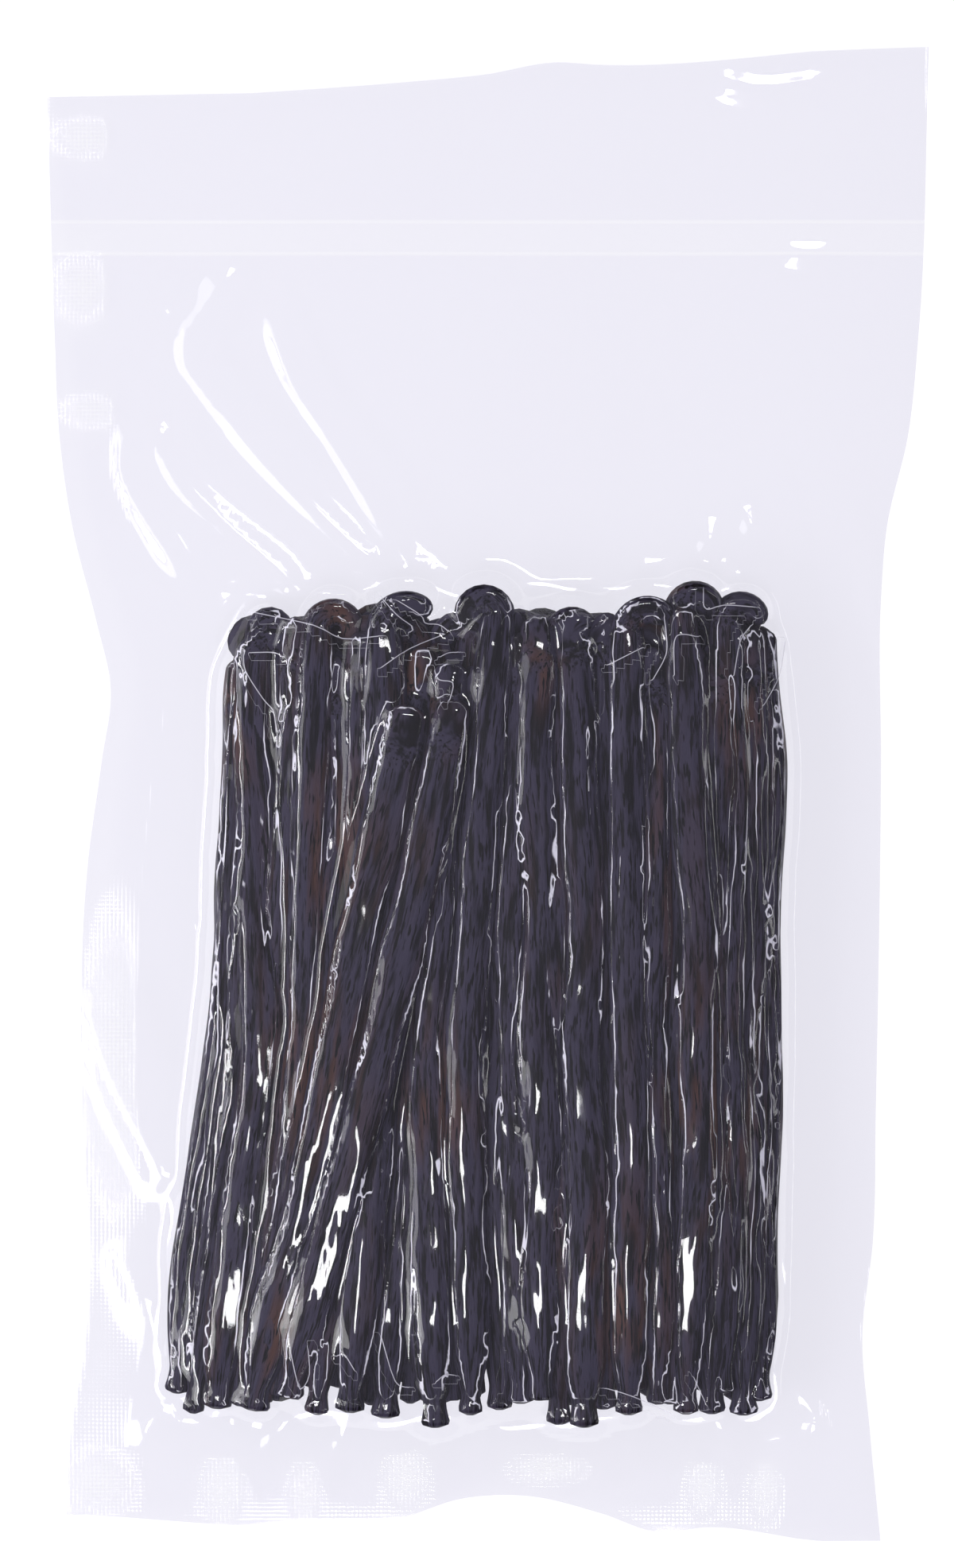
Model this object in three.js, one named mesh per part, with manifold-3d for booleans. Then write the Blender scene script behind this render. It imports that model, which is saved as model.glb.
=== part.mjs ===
// A clear vacuum pouch of vanilla pods, lying flat with its shown side up.
//
// Two solids, in millimetres: the bundle of pods, and the film that is sealed round it.
// X runs across the pouch, +Y points to its open mouth, +Z points up from the surface
// that it lies on, and the origin is under the middle of the pouch.

import * as THREE from 'three';
import { mergeVertices } from 'three/addons/utils/BufferGeometryUtils.js';
import Module from 'manifold-3d';

const wasm = await Module();
wasm.setup();

// Pouch: its outer edges, each read from corner to corner as [along, across] points
const POUCH_WIDTH = 150;
const POUCH_LENGTH = 254;
const RIGHT_X = POUCH_WIDTH / 2;
const TOP_Y = POUCH_LENGTH / 2;
const MOUTH_EDGE = [[-75, 118.5], [-27, 121.1], [-11, 122.3], [6, 124.4], [14, 124], [75, TOP_Y]];
const FOOT_EDGE = [
  [-71.6, -122.6], [-34, -124.4], [-14, -123.5], [-1, -119.7], [11, -119.2],
  [26, -122.3], [36.5, -125.4], [46.5, -124.6], [66.7, -TOP_Y],
];
const LEFT_EDGE = [
  [118.5, -RIGHT_X], [78, -73.7], [61, -72.9], [45, -70.6], [29, -66.5], [18, -64.1], [5, -65.7],
  [-12, -68], [-34, -69.1], [-57, -68.7], [-81, -67.5], [-95, -68.6], [-108, -70.8], [-122.6, -71.6],
];
const RIGHT_EDGE = [
  [TOP_Y, RIGHT_X], [78, 73.2], [61, 71.4], [45, 67.7], [33, 66.7], [5, 66.7], [-54, 65.8],
  [-76, 65.3], [-92, 63.5], [-108, 64.8], [-TOP_Y, 66.7],
];

// Film: two sheets pressed together, wider apart where they close round the pods
const FLANGE_THICKNESS = 0.5;
const FLANGE_EDGE_HEIGHT = 0.9;
const FLANGE_DROP_LENGTH = 17;
const TENT_WIDTH = 4.5;
const TENT_HALF_HEIGHT = 2;
const RIPPLE_HEIGHT = 0.5;
const RIPPLE_LENGTH = 43;
const RIPPLE_SLANT = 0.6;

// Folds that run from the pods' upper left corner out into the empty end of the pouch
const FOLD_HALF_WIDTH = 5;
const FOLDS = [
  { from: [-50, 75], to: [-15, 40], height: 1.8 },
  { from: [-37, 80], to: [-16, 42], height: 1.3 },
  { from: [-60, 60], to: [-40, 38], height: 1.6 },
  { from: [38, 58], to: [52, 34], height: 1.2 },
];

// Grid of the film: how many cells each stretch has, across and along the pouch
const SIDE_CELLS = 4;
const MIDDLE_CELLS = 14;
const MOUTH_CELLS = 14;
const POD_CELLS = 11;
const FOOT_CELLS = 4;

// Bundle: its four sides, with the pods lying along Y
const BUNDLE_TOP_Y = 30.5;
const BUNDLE_FOOT_Y = -102;
const BUNDLE_TOP_LEFT_X = -43.5;
const BUNDLE_TOP_RIGHT_X = 50;
const BUNDLE_FOOT_LEFT_X = -54;
const BUNDLE_FOOT_RIGHT_X = 48.5;
const SEAM_HEIGHT = 7.2;
const FRONT_RISE = 8.6;
const BACK_DROP = 4.9;
const SIDE_ROUNDNESS = 3.5;
const END_ROUNDNESS = 8;
const END_FALL = 0.6;

// Pods: cured vanilla, flattened, narrow at the foot and hooked at the head
const POD_THICKNESS = 4.7;
const POD_SIDES = 8;
const HOOK_STEP = Math.PI / 4;
const HOOK_TIGHTENING = 0.04;
const HOOK_THINNING = 0.06;
const END_ROUNDING = 1.15;
const TIP_LENGTH = 0.6;

// Pods that show in front, from left to right: where the head's neck is [x, y], where the pod
// passes the middle, where its foot is [x, y], its breadth, how high it lies among the others, and
// how its tip curls: degrees, anticlockwise when above zero, and radius
const MIDDLE_Y = -35;
const HIGH = 0.5;
const MID = -0.15;
const LOW = -0.85;
const FRONT_PODS = [
  { neck: [-41.2, 23], middle: -44.4, foot: [-52.8, -101.5], width: 6.8, lift: LOW, curl: 0, radius: 0 },
  { neck: [-38.4, 27.6], middle: -41.4, foot: [-50, -104.9], width: 6.8, lift: MID, curl: -270, radius: 2 },
  { neck: [-40.4, 21.5], middle: -38.4, foot: [-46, -104], width: 7.6, lift: HIGH, curl: -180, radius: 4.2 },
  { neck: [-32.2, 27], middle: -34.8, foot: [-42, -103.6], width: 6.8, lift: LOW, curl: -45, radius: 2.2 },
  { neck: [-29, 27.6], middle: -30.8, foot: [-38.5, -103.2], width: 7, lift: HIGH, curl: -225, radius: 3.3 },
  { neck: [-25.5, 23], middle: -27.6, foot: [-35.5, -101.5], width: 6.4, lift: LOW, curl: 0, radius: 0 },
  { neck: [-20.8, 25.4], middle: -21.2, foot: [-29.1, -104.9], width: 7, lift: MID, curl: 0, radius: 0 },
  { neck: [-17.8, 27.6], middle: -17.6, foot: [-23.4, -105], width: 7.4, lift: HIGH, curl: -135, radius: 4 },
  { neck: [-11, 24.5], middle: -13.2, foot: [-17.4, -105.5], width: 6.8, lift: LOW, curl: 0, radius: 0 },
  { neck: [-6.2, 22], middle: -9.6, foot: [-8.9, -107], width: 7.6, lift: HIGH, curl: 0, radius: 0 },
  { neck: [-1.8, 21.5], middle: -6.2, foot: [-6.6, -102.5], width: 6.6, lift: LOW, curl: 0, radius: 0 },
  { neck: [1.6, 29.9], middle: -2.6, foot: [-3, -104.9], width: 7.2, lift: HIGH, curl: 270, radius: 2.6 },
  { neck: [3.6, 31], middle: 1.2, foot: [1.9, -104.1], width: 6.6, lift: LOW, curl: 0, radius: 0 },
  { neck: [5.6, 27], middle: 4.6, foot: [5.5, -103], width: 6.8, lift: MID, curl: 0, radius: 0 },
  { neck: [8.2, 28.5], middle: 8.3, foot: [8.9, -101.8], width: 7.4, lift: HIGH, curl: 0, radius: 0 },
  { neck: [12, 26.8], middle: 11.4, foot: [12, -106.6], width: 7, lift: MID, curl: -225, radius: 2.5 },
  { neck: [14.4, 26.2], middle: 15.8, foot: [16.3, -107], width: 7.4, lift: HIGH, curl: -90, radius: 2.2 },
  { neck: [18.6, 25.4], middle: 19.4, foot: [19.5, -104], width: 6.8, lift: LOW, curl: -90, radius: 3 },
  { neck: [23.3, 27.3], middle: 23.4, foot: [23.7, -104.9], width: 7.4, lift: HIGH, curl: -180, radius: 4 },
  { neck: [27.7, 24.6], middle: 27.6, foot: [28.8, -103.2], width: 6.8, lift: MID, curl: 0, radius: 0 },
  { neck: [32.4, 30.6], middle: 34.6, foot: [33.4, -105], width: 7.6, lift: HIGH, curl: -225, radius: 2.8 },
  { neck: [38.4, 25.4], middle: 38, foot: [37.8, -104.9], width: 7, lift: MID, curl: 0, radius: 0 },
  { neck: [40.3, 29], middle: 40.6, foot: [39.8, -101.2], width: 7, lift: HIGH, curl: -180, radius: 2.7 },
  { neck: [43.8, 25.9], middle: 43.4, foot: [43.2, -105.2], width: 7.4, lift: MID, curl: 45, radius: 2.4 },
  { neck: [46.4, 26.4], middle: 46.4, foot: [45.6, -102.8], width: 6.8, lift: LOW, curl: -45, radius: 2 },
];

// Two long pods lie slantwise on top of the rest
const TOP_POD_LIFT = 2.5;
const TOP_POD_FOOT_SHARE = 0.25;
const TOP_POD_RISE_END = 0.4;
const TOP_PODS = [
  { neck: [-13.4, 14.8], middle: -23.6, foot: [-40, -104.2], width: 8, curl: 0, radius: 0 },
  { neck: [-5.4, 15.8], middle: -16.4, foot: [-33.8, -101.8], width: 8, curl: 0, radius: 0 },
];

// Pods behind, side by side: these are not seen, so a rule places them
const BACK_PODS = 12;
const BACK_POD_SIDES = 6;
const BACK_POD_WIDTH = 7.4;
const WIDTH_SPREAD = 0.9;
const BACK_LEVEL_STEP = 0.4;
const BOW = 1.2;
const END_SPREAD = 2.6;
const HEAD_INSET = 3;
const BACK_INSET = 2;

// Core: what the pods in the middle fill, as a plate with a thin rim
const CORE_COLUMNS = 10;
const CORE_ROWS = 8;
const CORE_INSET = 2.6;
const CORE_RIM = 0.5;
const CORE_SHARE = 0.88;

// Space left between the pods and the film, so that the two solids never touch
const FILM_GAP = 0.3;

const SEED = 250;
const MERGE_DISTANCE = 1e-5;

// Numbers

const lerp = THREE.MathUtils.lerp;
const clamp = THREE.MathUtils.clamp;

function seededRandom(seed) {
  let state = seed >>> 0;
  return () => {
    state = (state + 0x6d2b79f5) >>> 0;
    let mixed = Math.imul(state ^ (state >>> 15), 1 | state);
    mixed = (mixed + Math.imul(mixed ^ (mixed >>> 7), 61 | mixed)) ^ mixed;
    return ((mixed ^ (mixed >>> 14)) >>> 0) / 4294967296;
  };
}

// A smooth function through [at, value] points
function smoothThrough(points) {
  const rising = points[0][0] < points.at(-1)[0] ? points : [...points].reverse();
  const slope = (index) => {
    const before = rising[Math.max(index - 1, 0)];
    const after = rising[Math.min(index + 1, rising.length - 1)];
    return (after[1] - before[1]) / (after[0] - before[0]);
  };
  return (at) => {
    let index = 0;
    while (index < rising.length - 2 && at > rising[index + 1][0]) index += 1;
    const [start, startValue] = rising[index];
    const [end, endValue] = rising[index + 1];
    const span = end - start;
    const part = clamp((at - start) / span, 0, 1);
    const square = part * part;
    const cube = square * part;
    return (2 * cube - 3 * square + 1) * startValue + (cube - 2 * square + part) * span * slope(index)
      + (3 * square - 2 * cube) * endValue + (cube - square) * span * slope(index + 1);
  };
}

// Solids

function toManifold(geometry) {
  const bare = new THREE.BufferGeometry();
  bare.setAttribute('position', geometry.getAttribute('position'));
  bare.setIndex(geometry.getIndex());
  const merged = mergeVertices(bare, MERGE_DISTANCE);
  return new wasm.Manifold(new wasm.Mesh({
    numProp: 3,
    vertProperties: new Float32Array(merged.getAttribute('position').array),
    triVerts: new Uint32Array(merged.getIndex().array),
  }));
}

function toGeometry(manifold) {
  const mesh = manifold.getMesh();
  const geometry = new THREE.BufferGeometry();
  geometry.setAttribute('position', new THREE.BufferAttribute(mesh.vertProperties, 3));
  geometry.setIndex(new THREE.BufferAttribute(mesh.triVerts, 1));
  geometry.computeVertexNormals();
  return geometry;
}

// The outer shell alone, without loose scraps and with the hollows between fused pieces filled
function outerShell(manifold) {
  return manifold.decompose().reduce((most, piece) => (piece.volume() > most.volume() ? piece : most));
}

// A closed plate between two heights over a grid of [x, y] places
function plateGeometry(columns, rows, place, lowAt, highAt) {
  const positions = [];
  const faces = [];
  const layer = (columns + 1) * (rows + 1);
  const corner = (column, row, level) => level * layer + row * (columns + 1) + column;
  for (const heightAt of [lowAt, highAt]) {
    for (let row = 0; row <= rows; row += 1) {
      for (let column = 0; column <= columns; column += 1) {
        const [x, y] = place(column, row);
        positions.push(x, y, heightAt(x, y));
      }
    }
  }
  const addQuad = (a, b, c, d) => faces.push(a, b, c, a, c, d);
  for (let row = 0; row < rows; row += 1) {
    for (let column = 0; column < columns; column += 1) {
      addQuad(corner(column, row, 1), corner(column, row + 1, 1),
        corner(column + 1, row + 1, 1), corner(column + 1, row, 1));
      addQuad(corner(column, row, 0), corner(column + 1, row, 0),
        corner(column + 1, row + 1, 0), corner(column, row + 1, 0));
    }
  }
  for (let column = 0; column < columns; column += 1) {
    addQuad(corner(column, 0, 0), corner(column, 0, 1), corner(column + 1, 0, 1), corner(column + 1, 0, 0));
    addQuad(corner(column + 1, rows, 0), corner(column + 1, rows, 1),
      corner(column, rows, 1), corner(column, rows, 0));
  }
  for (let row = 0; row < rows; row += 1) {
    addQuad(corner(0, row + 1, 0), corner(0, row + 1, 1), corner(0, row, 1), corner(0, row, 0));
    addQuad(corner(columns, row, 0), corner(columns, row, 1),
      corner(columns, row + 1, 1), corner(columns, row + 1, 0));
  }
  const geometry = new THREE.BufferGeometry();
  geometry.setAttribute('position', new THREE.Float32BufferAttribute(positions, 3));
  geometry.setIndex(faces);
  return geometry;
}

// A closed bar of oval section along a row of points, pointed a little at both ends
function barGeometry(points, halfWidths, halfHeights, sides) {
  const up = new THREE.Vector3(0, 0, 1);
  const positions = [];
  const faces = [];
  const lastPoint = points.length - 1;
  points.forEach((point, index) => {
    const before = points[Math.max(index - 1, 0)];
    const after = points[Math.min(index + 1, lastPoint)];
    const along = after.clone().sub(before).normalize();
    const across = along.clone().cross(up).normalize();
    const over = across.clone().cross(along);
    for (let side = 0; side < sides; side += 1) {
      const angle = ((side + 0.5) / sides) * 2 * Math.PI;
      const corner = point.clone()
        .addScaledVector(across, halfWidths[index] * Math.cos(angle))
        .addScaledVector(over, halfHeights[index] * Math.sin(angle));
      positions.push(...corner.toArray());
    }
  });
  for (let ring = 0; ring < lastPoint; ring += 1) {
    for (let side = 0; side < sides; side += 1) {
      const next = (side + 1) % sides;
      const here = ring * sides;
      const there = here + sides;
      faces.push(here + side, there + side, here + next, here + next, there + side, there + next);
    }
  }
  for (const [end, inner] of [[0, 1], [lastPoint, lastPoint - 1]]) {
    const outward = points[end].clone().sub(points[inner]).normalize();
    const tip = points[end].clone().addScaledVector(outward, halfHeights[end] * TIP_LENGTH);
    const tipIndex = positions.length / 3;
    positions.push(...tip.toArray());
    for (let side = 0; side < sides; side += 1) {
      const first = end * sides + side;
      const second = end * sides + ((side + 1) % sides);
      faces.push(...(end === 0 ? [tipIndex, first, second] : [tipIndex, second, first]));
    }
  }
  const geometry = new THREE.BufferGeometry();
  geometry.setAttribute('position', new THREE.Float32BufferAttribute(positions, 3));
  geometry.setIndex(faces);
  return geometry;
}

// Form of the bundle

function bundleSides(y) {
  const down = (BUNDLE_TOP_Y - y) / (BUNDLE_TOP_Y - BUNDLE_FOOT_Y);
  return [
    lerp(BUNDLE_TOP_LEFT_X, BUNDLE_FOOT_LEFT_X, down),
    lerp(BUNDLE_TOP_RIGHT_X, BUNDLE_FOOT_RIGHT_X, down),
  ];
}

// How full the bundle is at a place: 1 in the middle, 0 along its sides
function fullness(x, y) {
  const [left, right] = bundleSides(y);
  const across = Math.min(Math.abs((2 * x - left - right) / (right - left)), 1);
  const middleY = (BUNDLE_TOP_Y + BUNDLE_FOOT_Y) / 2;
  const along = Math.min(Math.abs((y - middleY) / (BUNDLE_TOP_Y - middleY)), 1);
  return (1 - across ** SIDE_ROUNDNESS) * (1 - END_FALL * along ** END_ROUNDNESS);
}

const frontHeight = (x, y) => SEAM_HEIGHT + FRONT_RISE * fullness(x, y);
const backHeight = (x, y) => SEAM_HEIGHT - BACK_DROP * fullness(x, y);

// Millimetres outside the bundle's outline, less than zero inside it
function outsideBundle(x, y) {
  const [left, right] = bundleSides(clamp(y, BUNDLE_FOOT_Y, BUNDLE_TOP_Y));
  const sideways = Math.max(left - x, x - right);
  const lengthways = Math.max(BUNDLE_FOOT_Y - y, y - BUNDLE_TOP_Y);
  if (sideways > 0 && lengthways > 0) return Math.hypot(sideways, lengthways);
  return Math.max(sideways, lengthways);
}

// Pods

// Half the pod's breadth, as a share of its full size, from its foot (0) to its neck (1)
const podTaper = smoothThrough([[0, 0.6], [0.035, 0.5], [0.14, 0.9], [0.5, 1], [0.88, 0.96], [1, 0.66]]);
const BODY_STATIONS = [0, 0.035, 0.09, 0.17, 0.34, 0.52, 0.7, 0.86, 0.95, 1];
const BACK_STATIONS = [0, 0.1, 0.35, 0.65, 0.9, 1];

// Points of a curled tip, past the neck
function curlPoints(start, heading, degrees, fullRadius) {
  const steps = Math.round(Math.abs(THREE.MathUtils.degToRad(degrees)) / HOOK_STEP);
  const points = [];
  let angle = heading;
  let here = start;
  for (let step = 1; step <= steps; step += 1) {
    const radius = fullRadius * (1 - HOOK_TIGHTENING * step);
    const chord = 2 * radius * Math.sin(HOOK_STEP / 2);
    angle += Math.sign(degrees) * HOOK_STEP * (step === 1 ? 0.5 : 1);
    here = new THREE.Vector3(here.x + chord * Math.cos(angle), here.y + chord * Math.sin(angle), here.z);
    points.push(here);
  }
  return points;
}

function podSolid({ route, stations, width, curl, radius, sides, grow }) {
  const body = stations.map((station) => route(station));
  const head = body.at(-1);
  const neck = body.at(-2);
  const heading = Math.atan2(head.y - neck.y, head.x - neck.x);
  const tip = curlPoints(head, heading, curl, radius);
  const bodyShares = stations.map((station) => podTaper(station));
  const tipShares = tip.map((_, step) => podTaper(1) * (1 - HOOK_THINNING * (step + 1)));
  const shares = [...bodyShares, ...tipShares];
  const halfWidths = shares.map((share) => (share * width) / 2 + grow);
  const halfHeights = shares.map((share) => (Math.min(share * END_ROUNDING, 1) * POD_THICKNESS) / 2 + grow);
  return toManifold(barGeometry([...body, ...tip], halfWidths, halfHeights, sides));
}

// A pod of the front, raised above the bundle's face by what liftAt gives
function shownPod({ neck, middle, foot, width, curl, radius }, liftAt, grow) {
  const xAt = smoothThrough([[foot[1], foot[0]], [MIDDLE_Y, middle], [neck[1], neck[0]]]);
  const route = (part) => {
    const y = lerp(foot[1], neck[1], part);
    const x = xAt(y);
    return new THREE.Vector3(x, y, frontHeight(x, y) + liftAt(part, x, y));
  };
  return podSolid({ route, stations: BODY_STATIONS, width, curl, radius, sides: POD_SIDES, grow });
}

function frontPods(grow) {
  return FRONT_PODS.map((pod) => shownPod(pod, (part, x, y) => pod.lift * fullness(x, y), grow));
}

function topPods(grow) {
  const share = smoothThrough([[0, TOP_POD_FOOT_SHARE], [TOP_POD_RISE_END, 1], [1, 1]]);
  return TOP_PODS.map((pod) => shownPod(pod, (part) => TOP_POD_LIFT * share(part), grow));
}

function backPods(grow) {
  const random = seededRandom(SEED);
  const solids = [];
  for (let index = 0; index < BACK_PODS; index += 1) {
    const share = (index + 0.5) / BACK_PODS;
    const level = (index % 2 === 0 ? 1 : -1) * BACK_LEVEL_STEP;
    const bow = BOW * (2 * random() - 1);
    const headY = BUNDLE_TOP_Y - HEAD_INSET + END_SPREAD * (2 * random() - 1);
    const footY = BUNDLE_FOOT_Y + END_SPREAD * (2 * random() - 1);
    const width = BACK_POD_WIDTH + WIDTH_SPREAD * (2 * random() - 1);
    const route = (part) => {
      const y = lerp(footY, headY, part);
      const [left, right] = bundleSides(y);
      const x = lerp(left + BACK_INSET, right - BACK_INSET, share) + bow * Math.sin(Math.PI * part);
      return new THREE.Vector3(x, y, backHeight(x, y) + level * fullness(x, y));
    };
    solids.push(podSolid({
      route, stations: BACK_STATIONS, width, curl: 0, radius: 0, sides: BACK_POD_SIDES, grow,
    }));
  }
  return solids;
}

// What the pods in the middle of the bundle fill
function coreSolid(grow) {
  const reach = CORE_INSET - grow;
  const place = (column, row) => {
    const y = lerp(BUNDLE_TOP_Y - reach, BUNDLE_FOOT_Y + reach, row / CORE_ROWS);
    const [left, right] = bundleSides(y);
    return [lerp(left + reach, right - reach, column / CORE_COLUMNS), y];
  };
  const low = (x, y) => SEAM_HEIGHT - CORE_RIM - grow - CORE_SHARE * BACK_DROP * fullness(x, y);
  const high = (x, y) => SEAM_HEIGHT + CORE_RIM + grow + CORE_SHARE * FRONT_RISE * fullness(x, y);
  return toManifold(plateGeometry(CORE_COLUMNS, CORE_ROWS, place, low, high));
}

// All pods in one solid. With grow above zero every face stands out by that much.
function bundleSolid(grow) {
  return outerShell(wasm.Manifold.union([
    coreSolid(grow), ...frontPods(grow), ...topPods(grow), ...backPods(grow),
  ]));
}

// The pods press flat against the surface that the pouch lies on
function flatBottomed(solid) {
  const room = new THREE.BoxGeometry(POUCH_WIDTH, POUCH_LENGTH, POUCH_WIDTH);
  room.translate(0, 0, POUCH_WIDTH / 2);
  return solid.intersect(toManifold(room));
}

// Pouch

function foldHeight(x, y) {
  let height = 0;
  for (const fold of FOLDS) {
    const along = new THREE.Vector2(fold.to[0] - fold.from[0], fold.to[1] - fold.from[1]);
    const offset = new THREE.Vector2(x - fold.from[0], y - fold.from[1]);
    const part = clamp(offset.dot(along) / along.lengthSq(), 0, 1);
    const away = offset.addScaledVector(along, -part).length();
    height = Math.max(height, fold.height * Math.max(1 - away / FOLD_HALF_WIDTH, 0));
  }
  return height;
}

// Middle height of the two sheets: they leave the pods at the seam and sink to the surface
function sheetHeight(x, y) {
  const away = Math.max(outsideBundle(x, y), 0);
  const sunk = (SEAM_HEIGHT - FLANGE_EDGE_HEIGHT) / (1 + (away / FLANGE_DROP_LENGTH) ** 2);
  const free = Math.min(away / POUCH_WIDTH, 1);
  const ripple = 1 + Math.sin((2 * Math.PI * (x + RIPPLE_SLANT * y)) / RIPPLE_LENGTH);
  return FLANGE_EDGE_HEIGHT + sunk + RIPPLE_HEIGHT * free * ripple
    + foldHeight(x, y) * Math.min(away / TENT_WIDTH, 1);
}

// Half the room between the two sheets' outer faces
function sheetSpread(x, y) {
  const away = Math.max(outsideBundle(x, y), 0);
  return FLANGE_THICKNESS / 2 + TENT_HALF_HEIGHT * Math.max(1 - away / TENT_WIDTH, 0);
}

// Places along one direction: from one edge of the pouch to the bundle, over it, and on to the
// other edge. The cell beside the bundle is as wide as the film's tent.
function stretchPlaces([firstCells, middleCells, lastCells], [first, near, far, last]) {
  const firstTent = near - Math.sign(near - first) * TENT_WIDTH;
  const lastTent = far + Math.sign(last - far) * TENT_WIDTH;
  const evenly = (from, to, cells) => (
    Array.from({ length: cells + 1 }, (_, step) => lerp(from, to, step / cells))
  );
  return [
    ...evenly(first, firstTent, firstCells - 1),
    ...evenly(near, far, middleCells),
    ...evenly(lastTent, last, lastCells - 1),
  ];
}

function pouchSolid() {
  const mouthY = smoothThrough(MOUTH_EDGE);
  const footY = smoothThrough(FOOT_EDGE);
  const leftX = smoothThrough(LEFT_EDGE);
  const rightX = smoothThrough(RIGHT_EDGE);
  const across = [SIDE_CELLS, MIDDLE_CELLS, SIDE_CELLS];
  const along = [MOUTH_CELLS, POD_CELLS, FOOT_CELLS];
  const columns = 2 * SIDE_CELLS + MIDDLE_CELLS;
  const rows = MOUTH_CELLS + POD_CELLS + FOOT_CELLS;
  const place = (column, row) => {
    const nearX = lerp(-RIGHT_X, RIGHT_X, column / columns);
    const y = stretchPlaces(along, [mouthY(nearX), BUNDLE_TOP_Y, BUNDLE_FOOT_Y, footY(nearX)])[row];
    const [left, right] = bundleSides(y);
    return [stretchPlaces(across, [leftX(y), left, right, rightX(y)])[column], y];
  };
  const low = (x, y) => sheetHeight(x, y) - sheetSpread(x, y);
  const high = (x, y) => sheetHeight(x, y) + sheetSpread(x, y);
  return toManifold(plateGeometry(columns, rows, place, low, high));
}

// Model

const podMaterial = new THREE.MeshStandardMaterial({ color: 0x2a1d18, roughness: 0.6, metalness: 0 });
const filmMaterial = new THREE.MeshStandardMaterial({
  color: 0xe7e6f3, roughness: 0.15, metalness: 0, transparent: true, opacity: 0.35,
});

function namedMesh(name, solid, material) {
  const mesh = new THREE.Mesh(toGeometry(solid), material);
  mesh.name = name;
  return mesh;
}

const group = new THREE.Group();
group.add(namedMesh('pod_bundle', flatBottomed(bundleSolid(0)), podMaterial));
group.add(namedMesh('pouch_film', outerShell(pouchSolid().subtract(bundleSolid(FILM_GAP))), filmMaterial));

export default group;
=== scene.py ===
import math

import bpy
import numpy as np
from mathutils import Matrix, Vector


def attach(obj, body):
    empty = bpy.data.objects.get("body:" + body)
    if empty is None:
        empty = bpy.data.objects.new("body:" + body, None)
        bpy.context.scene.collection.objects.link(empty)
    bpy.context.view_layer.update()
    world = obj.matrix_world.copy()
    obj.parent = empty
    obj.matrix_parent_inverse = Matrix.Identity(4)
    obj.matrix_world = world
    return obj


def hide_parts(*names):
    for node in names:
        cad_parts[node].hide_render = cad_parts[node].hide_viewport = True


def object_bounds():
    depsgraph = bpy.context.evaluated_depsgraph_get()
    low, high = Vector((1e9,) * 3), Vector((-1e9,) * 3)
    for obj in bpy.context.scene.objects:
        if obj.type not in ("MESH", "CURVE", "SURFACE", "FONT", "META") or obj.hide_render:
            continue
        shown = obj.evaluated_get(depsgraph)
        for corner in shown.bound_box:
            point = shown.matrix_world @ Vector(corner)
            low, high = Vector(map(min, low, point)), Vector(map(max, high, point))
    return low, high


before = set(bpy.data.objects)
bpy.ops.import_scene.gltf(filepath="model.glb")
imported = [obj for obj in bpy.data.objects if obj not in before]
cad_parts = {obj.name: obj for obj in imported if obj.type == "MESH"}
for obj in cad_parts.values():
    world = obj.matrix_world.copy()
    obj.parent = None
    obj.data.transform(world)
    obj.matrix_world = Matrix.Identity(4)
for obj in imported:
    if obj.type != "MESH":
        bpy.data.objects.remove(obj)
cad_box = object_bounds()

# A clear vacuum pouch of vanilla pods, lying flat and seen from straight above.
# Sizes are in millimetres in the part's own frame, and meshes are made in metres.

MM = 0.001
SEED = 1107

# Pouch: its outer edges, each from corner to corner as (along, across) points
POUCH_WIDTH = 150.0
POUCH_LENGTH = 254.0
RIGHT_X = POUCH_WIDTH / 2
TOP_Y = POUCH_LENGTH / 2
MOUTH_EDGE = [(-75, 118.5), (-27, 121.1), (-11, 122.3), (6, 124.4), (14, 124), (75, TOP_Y)]
FOOT_EDGE = [
    (-71.6, -122.6), (-34, -124.4), (-14, -123.5), (-1, -119.7), (11, -119.2),
    (26, -122.3), (36.5, -125.4), (46.5, -124.6), (66.7, -TOP_Y),
]
LEFT_EDGE = [
    (118.5, -RIGHT_X), (78, -73.7), (61, -72.9), (45, -70.6), (29, -66.5), (18, -64.1), (5, -65.7),
    (-12, -68), (-34, -69.1), (-57, -68.7), (-81, -67.5), (-95, -68.6), (-108, -70.8), (-122.6, -71.6),
]
RIGHT_EDGE = [
    (TOP_Y, RIGHT_X), (78, 73.2), (61, 71.4), (45, 67.7), (33, 66.7), (5, 66.7), (-54, 65.8),
    (-76, 65.3), (-92, 63.5), (-108, 64.8), (-TOP_Y, 66.7),
]

# Bundle: its four sides and its height, as in the solids
BUNDLE_TOP_Y = 30.5
BUNDLE_FOOT_Y = -102.0
BUNDLE_TOP_X = (-43.5, 50.0)
BUNDLE_FOOT_X = (-54.0, 48.5)
SEAM_HEIGHT = 7.2
FRONT_RISE = 8.6
BACK_DROP = 4.9
SIDE_ROUNDNESS = 3.5
END_ROUNDNESS = 8
END_FALL = 0.6

# Film: where its two sheets lie, and how tightly they follow the pods
FLANGE_EDGE_HEIGHT = 0.9
FLANGE_DROP_LENGTH = 17.0
SHEET_HALF_GAP = 0.09
POD_CLEARANCE = 0.15
TIGHT_RADIUS = 2.5
LOOSE_RADIUS = 3.6
FLOOR_CLEARANCE = 0.03
GRID_STEP = 0.3
LINE_GAP = 0.035
LEAST_SLOPE = 0.11
LINE_REACH = 1.5
FREE_STANDOFF = 2.0
SHEET_BLUR = 11
FAR_BELOW = -1e3

# How many times finer a pod's rings and sides are where its heights are put on the grid
STAMP_FINENESS = (9, 4)

# Rounds of pulling the film down, from the coarsest grid to the finest: cells joined, and rounds
PULL_ROUNDS = [(8, 120), (4, 90), (2, 90), (1, 110)]

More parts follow.
